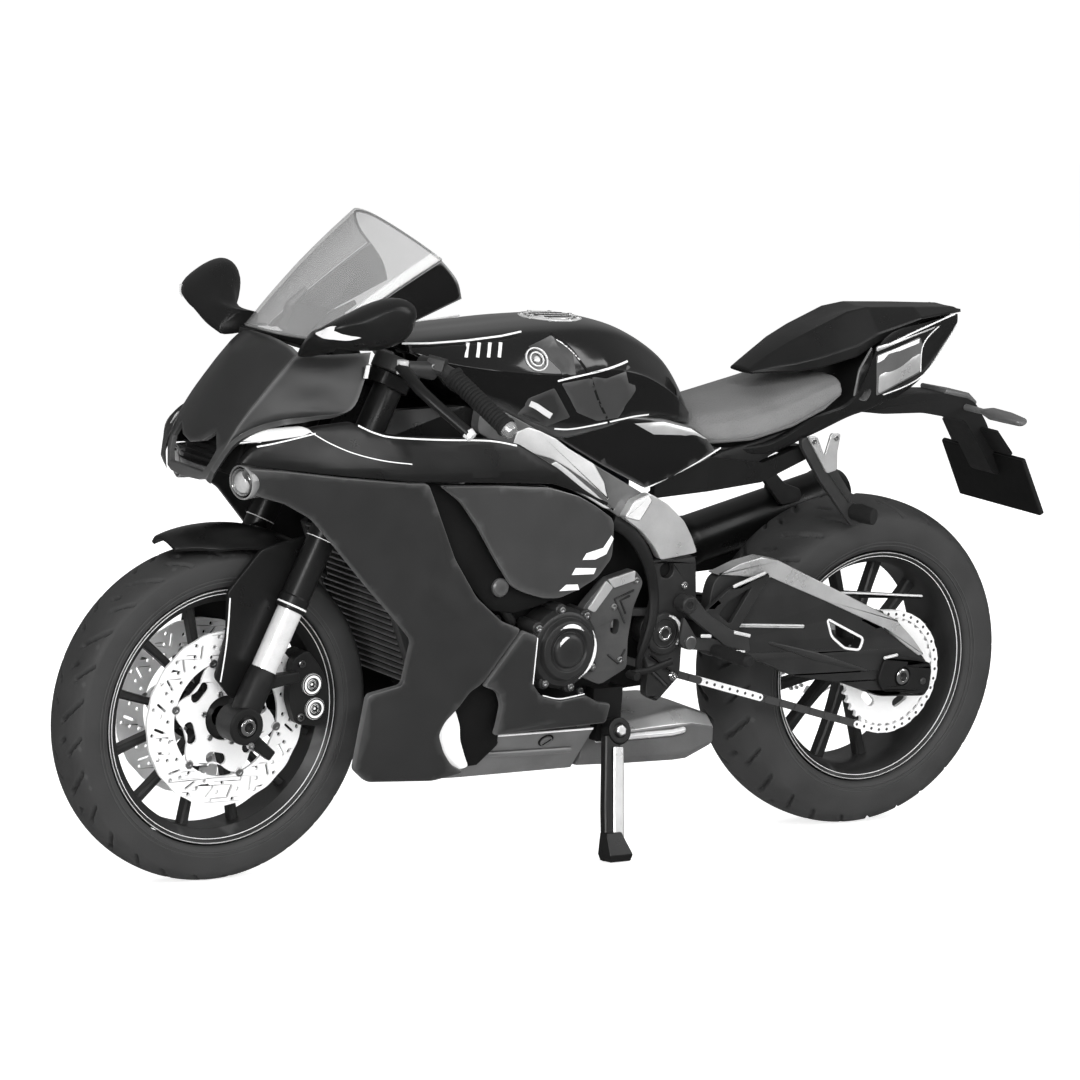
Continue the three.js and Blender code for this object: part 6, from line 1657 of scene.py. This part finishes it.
part = Part("suspension_strut", "chassis", ALLOY, STEEL)
foot, head = Vector((54.6, 0, 57)), Vector((62.4, 0, 80))
part.sweep([foot.lerp(head, t) for t in (0.53, 0.54, 0.62, 0.64, 0.98, 1.0)],
           [2.7, 3.15, 3.15, 2.9, 2.9, 2.4], 0, 28)
for k in range(6):
    here = foot.lerp(head, 0.66 + 0.05 * k)
    part.sweep([here, here + (head - foot) * 0.02], 3.18, 1, 28)
part.done(bevel=0.1, replaces=["shock_body"])

HANGER = [(61.3, 57.1), (60, 59.3), (54.1, 63.7), (43.6, 67.1), (42.6, 66.4), (47.3, 59.2), (51.6, 52.6),
          (54.8, 53)]
HANGER_HOLE = [(56.7, 57.9), (54.4, 60.6), (47.6, 63.9), (53.1, 55.4)]
HANGER_ARM = [(67.2, 62.3), (64.1, 62.6), (59.9, 58.3), (53.2, 54.3), (47.9, 52.2), (46.9, 48.7),
              (54.1, 50.3), (65.6, 58.4)]
HANGER_FOOT = [(65.6, 50.2), (46.9, 48.2), (47.7, 50.3), (59.4, 52.6), (62.3, 52.6), (66.4, 58), (67, 52)]
for side, which in SIDES:
    part = Part(f"rider_footrest_{which}", "chassis", POWDER, MOULDED, GRIP, STEEL, POLISHED, side=side)
    part.plate(rounded(HANGER, 0.8, 4), 22.1, 23.3, 0, [rounded(HANGER_HOLE, 0.8, 4)])
    part.plate(rounded(HANGER_ARM, 0.8, 4), 22.0, 23.7, 0)
    part.plate(rounded(HANGER_FOOT, 0.8, 4), 22.2, 23.2, 0)
    for a, b in (((53.4, 64.3), (44.4, 67.2)), ((61.6, 53.2), (58.6, 53)), ((57, 49.6), (48.6, 48.7)),
                 ((52.2, 53.6), (47.4, 52.5))):
        part.beam([(a[0], 23.7, a[1]), (b[0], 23.7, b[1])], (0.7, 0.5), 4, chamfer=0.08)
    part.knob([(20.4, 2.0), (23.9, 2.0), (24.3, 1.7), (24.3, 0.9), (23.9, 0.8)], 65.6, 60.6, 0, 24)
    for x, z in ((64, 51.6), (64.4, 60.4)):
        part.knob([(20.5, 1.7), (23.2, 1.7), (23.5, 1.5), (23.5, 0.1)], x, z, 3, 20)
    path = [Vector((57, 23, 49.6)).lerp(Vector((55, 34.5, 49)), k / 14) for k in range(15)]
    part.sweep(path, [1.3, 1.5] + [1.65 if k % 2 else 1.45 for k in range(11)] + [1.6, 1.2],
               2, 16, up=(1, 0, 0))
    pedal = ([(69, 23.4, 47.6), (75.6, 23.8, 46), (81.4, 24.2, 45.6)] if side > 0
             else [(46.6, 23.4, 50.4), (41.6, 24.2, 49.4), (38, 25.4, 48.8)])
    part.sweep(pedal, [(0.9, 0.6), (0.8, 0.55), (0.7, 0.5)], 1, 12)
    tip = pedal[-1]
    part.sweep([tip, (tip[0], tip[1] + 3.4, tip[2])], [(1.0, 1.0), (0.95, 0.95)], 1, 12, up=(1, 0, 0))
    part.done(bevel=0.18, replaces=[f"rider_peg_{which}"])

    part = Part(f"passenger_footrest_{which}", "chassis", POWDER, SILVER, GRIP, STEEL, side=side)
    part.plate(rounded([(29.6, 96.6), (26.6, 96.6), (21.4, 88.6), (12.6, 80.6), (7.6, 79), (7.2, 76),
                        (13, 75.2), (23.3, 86.2), (29.6, 94.6)], 0.9, 3), 12.9, 14.3, 0)
    part.plate(rounded([(28.3, 97), (25.4, 96.9), (22.9, 92.2), (21.4, 97.6), (18.6, 97.5), (19.2, 92.9),
                        (18.8, 88.8), (21.8, 88)], 0.7, 3), 14.1, 14.8, 1)
    part.plate(rounded([(21.6, 88.4), (18.9, 89), (14, 83), (14.4, 80.6)], 0.5, 3), 14.1, 14.6, 0)
    for x, z in ((26.4, 95.8), (20, 96.4)):
        part.bolt(x, 14.7, z, 0.7, 0.4, 3)
    part.sweep([(13, 13.2, 78.6), (12.2, 16.6, 78.6), (11.4, 20.6, 78.4)],
               [(1.6, 1.5), (2.3, 1.7), (2.0, 1.4)], 2, 16, up=(1, 0, 0))
    part.done(bevel=0.2, replaces=[f"passenger_peg_{which}"])

part = Part("side_stand_leg", "side_stand", INK, SILVER, STEEL)
slope = atan2(29 - 20.4, 31.4 - 3)
bolt_axis = Vector((0, cos(slope), sin(slope)))
turned(part, Vector((81, 20.4, 31.4)) - bolt_axis * 1.6, bolt_axis,
       [(0, 3.2), (2.9, 3.2), (3.2, 2.9), (3.2, 1.7), (3.0, 1.6)], 0, 32)
turned(part, Vector((81, 20.4, 31.4)) - bolt_axis * 1.4, bolt_axis,
       [(0, 1.5), (3.5, 1.5), (3.8, 1.3), (3.8, 0.1)], 2, 6)
part.beam([(82.6, 20.8, 30.4), (83.6, 22.8, 23.4), (84.8, 25.4, 14.6), (85.6, 28, 5.4),
           (85.4, 28.5, 3.6)], [(4.6, 2.4), (4.4, 2.4), (4.4, 2.4), (4.4, 2.4), (4.2, 2.6)],
           0, chamfer=0.5)
part.beam([(81.9, 23.1, 28.4), (83.3, 26.8, 14.6), (84.2, 29.25, 6.2)], [(2.7, 0.35)] * 3, 1, chamfer=0.1)
foot_turn = Matrix.Rotation(-LEAN, 3, "X")
shoe = [[(83.4, 27.1, 6.8), (87.6, 27.1, 6.8), (87.6, 29.7, 6.8), (83.4, 29.7, 6.8)],
        [(82.8, 26.9, 5.2), (87.7, 26.9, 5.2), (87.7, 30.3, 5.2), (82.8, 30.3, 5.2)],
        [(81.4, 26.5, 1.8), (87.8, 26.5, 1.8), (87.8, 31.5, 1.8), (81.4, 31.5, 1.8)],
        [(81.8, 26.9, 0.25), (87.4, 26.9, 0.25), (87.4, 31.1, 0.25), (81.8, 31.1, 0.25)]]
part.rings([[foot_turn @ Vector(p) for p in ring] for ring in shoe], 0)
part.done(bevel=0.22, replaces=["side_stand"])

# ---- front mudguard ----------------------------------------------------------------------------------
part = Part("front_mudguard_shell", "fork_lower", INK, LINE)
grid = []
for i in range(37):
    a = radians(69.4 + i * (126 - 69.4) / 36)
    ahead = max(0, 1 - i / 9)  # 1 at the pointed front end, 0 where the shell has its full width
    taper = 1 - 0.75 * ahead
    row = []
    for k in range(17):
        s = -1 + 2 * k / 16
        y = 9.3 * s * (0.3 + 0.7 * taper ** 0.7)
        r = FRONT_TYRE_RADIUS + 4.4 - (1.2 + 2.4 * taper) * abs(s) ** 2.4 + 0.7 * ahead * (1 - abs(s))
        row.append(Vector((FRONT_AXLE[0] + r * cos(a), y, FRONT_AXLE[1] + r * sin(a))))
    grid.append(row)
sheet(part, trim(grid, 0.3), -1.0, 0, lip=-0.2)
blade = rounded([(171.4, 75.4), (179.4, 66.4), (179.2, 57), (181.4, 47.4), (176.4, 42), (170.4, 50),
                 (163.6, 68), (160, 78)], 1.0, 4)
for side in (1, -1):
    field = lambda x, z: 9.6 + 0.35 * sin(max(0, min(1, (z - 42) / 30)) * pi)
    made = Part("blade", "fork_lower", INK, LINE, side=side)
    made.panel(blade, field, 0.9, 1.5, 0, lip=0.3)
    # A pale line along the blade's front edge: a painted highlight.
    ribbon(made, [(178.9, 65), (179.1, 56), (180, 46.4)], 0.3, field, 1)
    if side < 0:
        for v in made.bm.verts:
            v.co.y = -v.co.y
        bmesh.ops.reverse_faces(made.bm, faces=made.bm.faces)
    mesh = bpy.data.meshes.new("scratch")
    made.bm.to_mesh(mesh)
    part.bm.from_mesh(mesh)
    made.bm.free()
    bpy.data.meshes.remove(mesh)
part.done(sharp=60, replaces=["front_mudguard"])

# ---- CAD nodes that keep their own shape -------------------------------------------------------------
KEPT = {
    "headstock": INK, "engine_case": INK, "drive_motor": STEEL, "battery_pack": CELL,
    "steering_servo": GLOSS,
    "receiver_board": BOARD, "belly_pan": GREY, "shock_rod": CHROME, "shock_spring": STEEL,
    "seat_rails": INK,
}
for name, finish in KEPT.items():
    node = frame["nodes"][name]
    node.data.materials.clear()
    node.data.materials.append(finish)
    if name not in ("shock_spring", "receiver_board"):
        soften(node, 0.25)
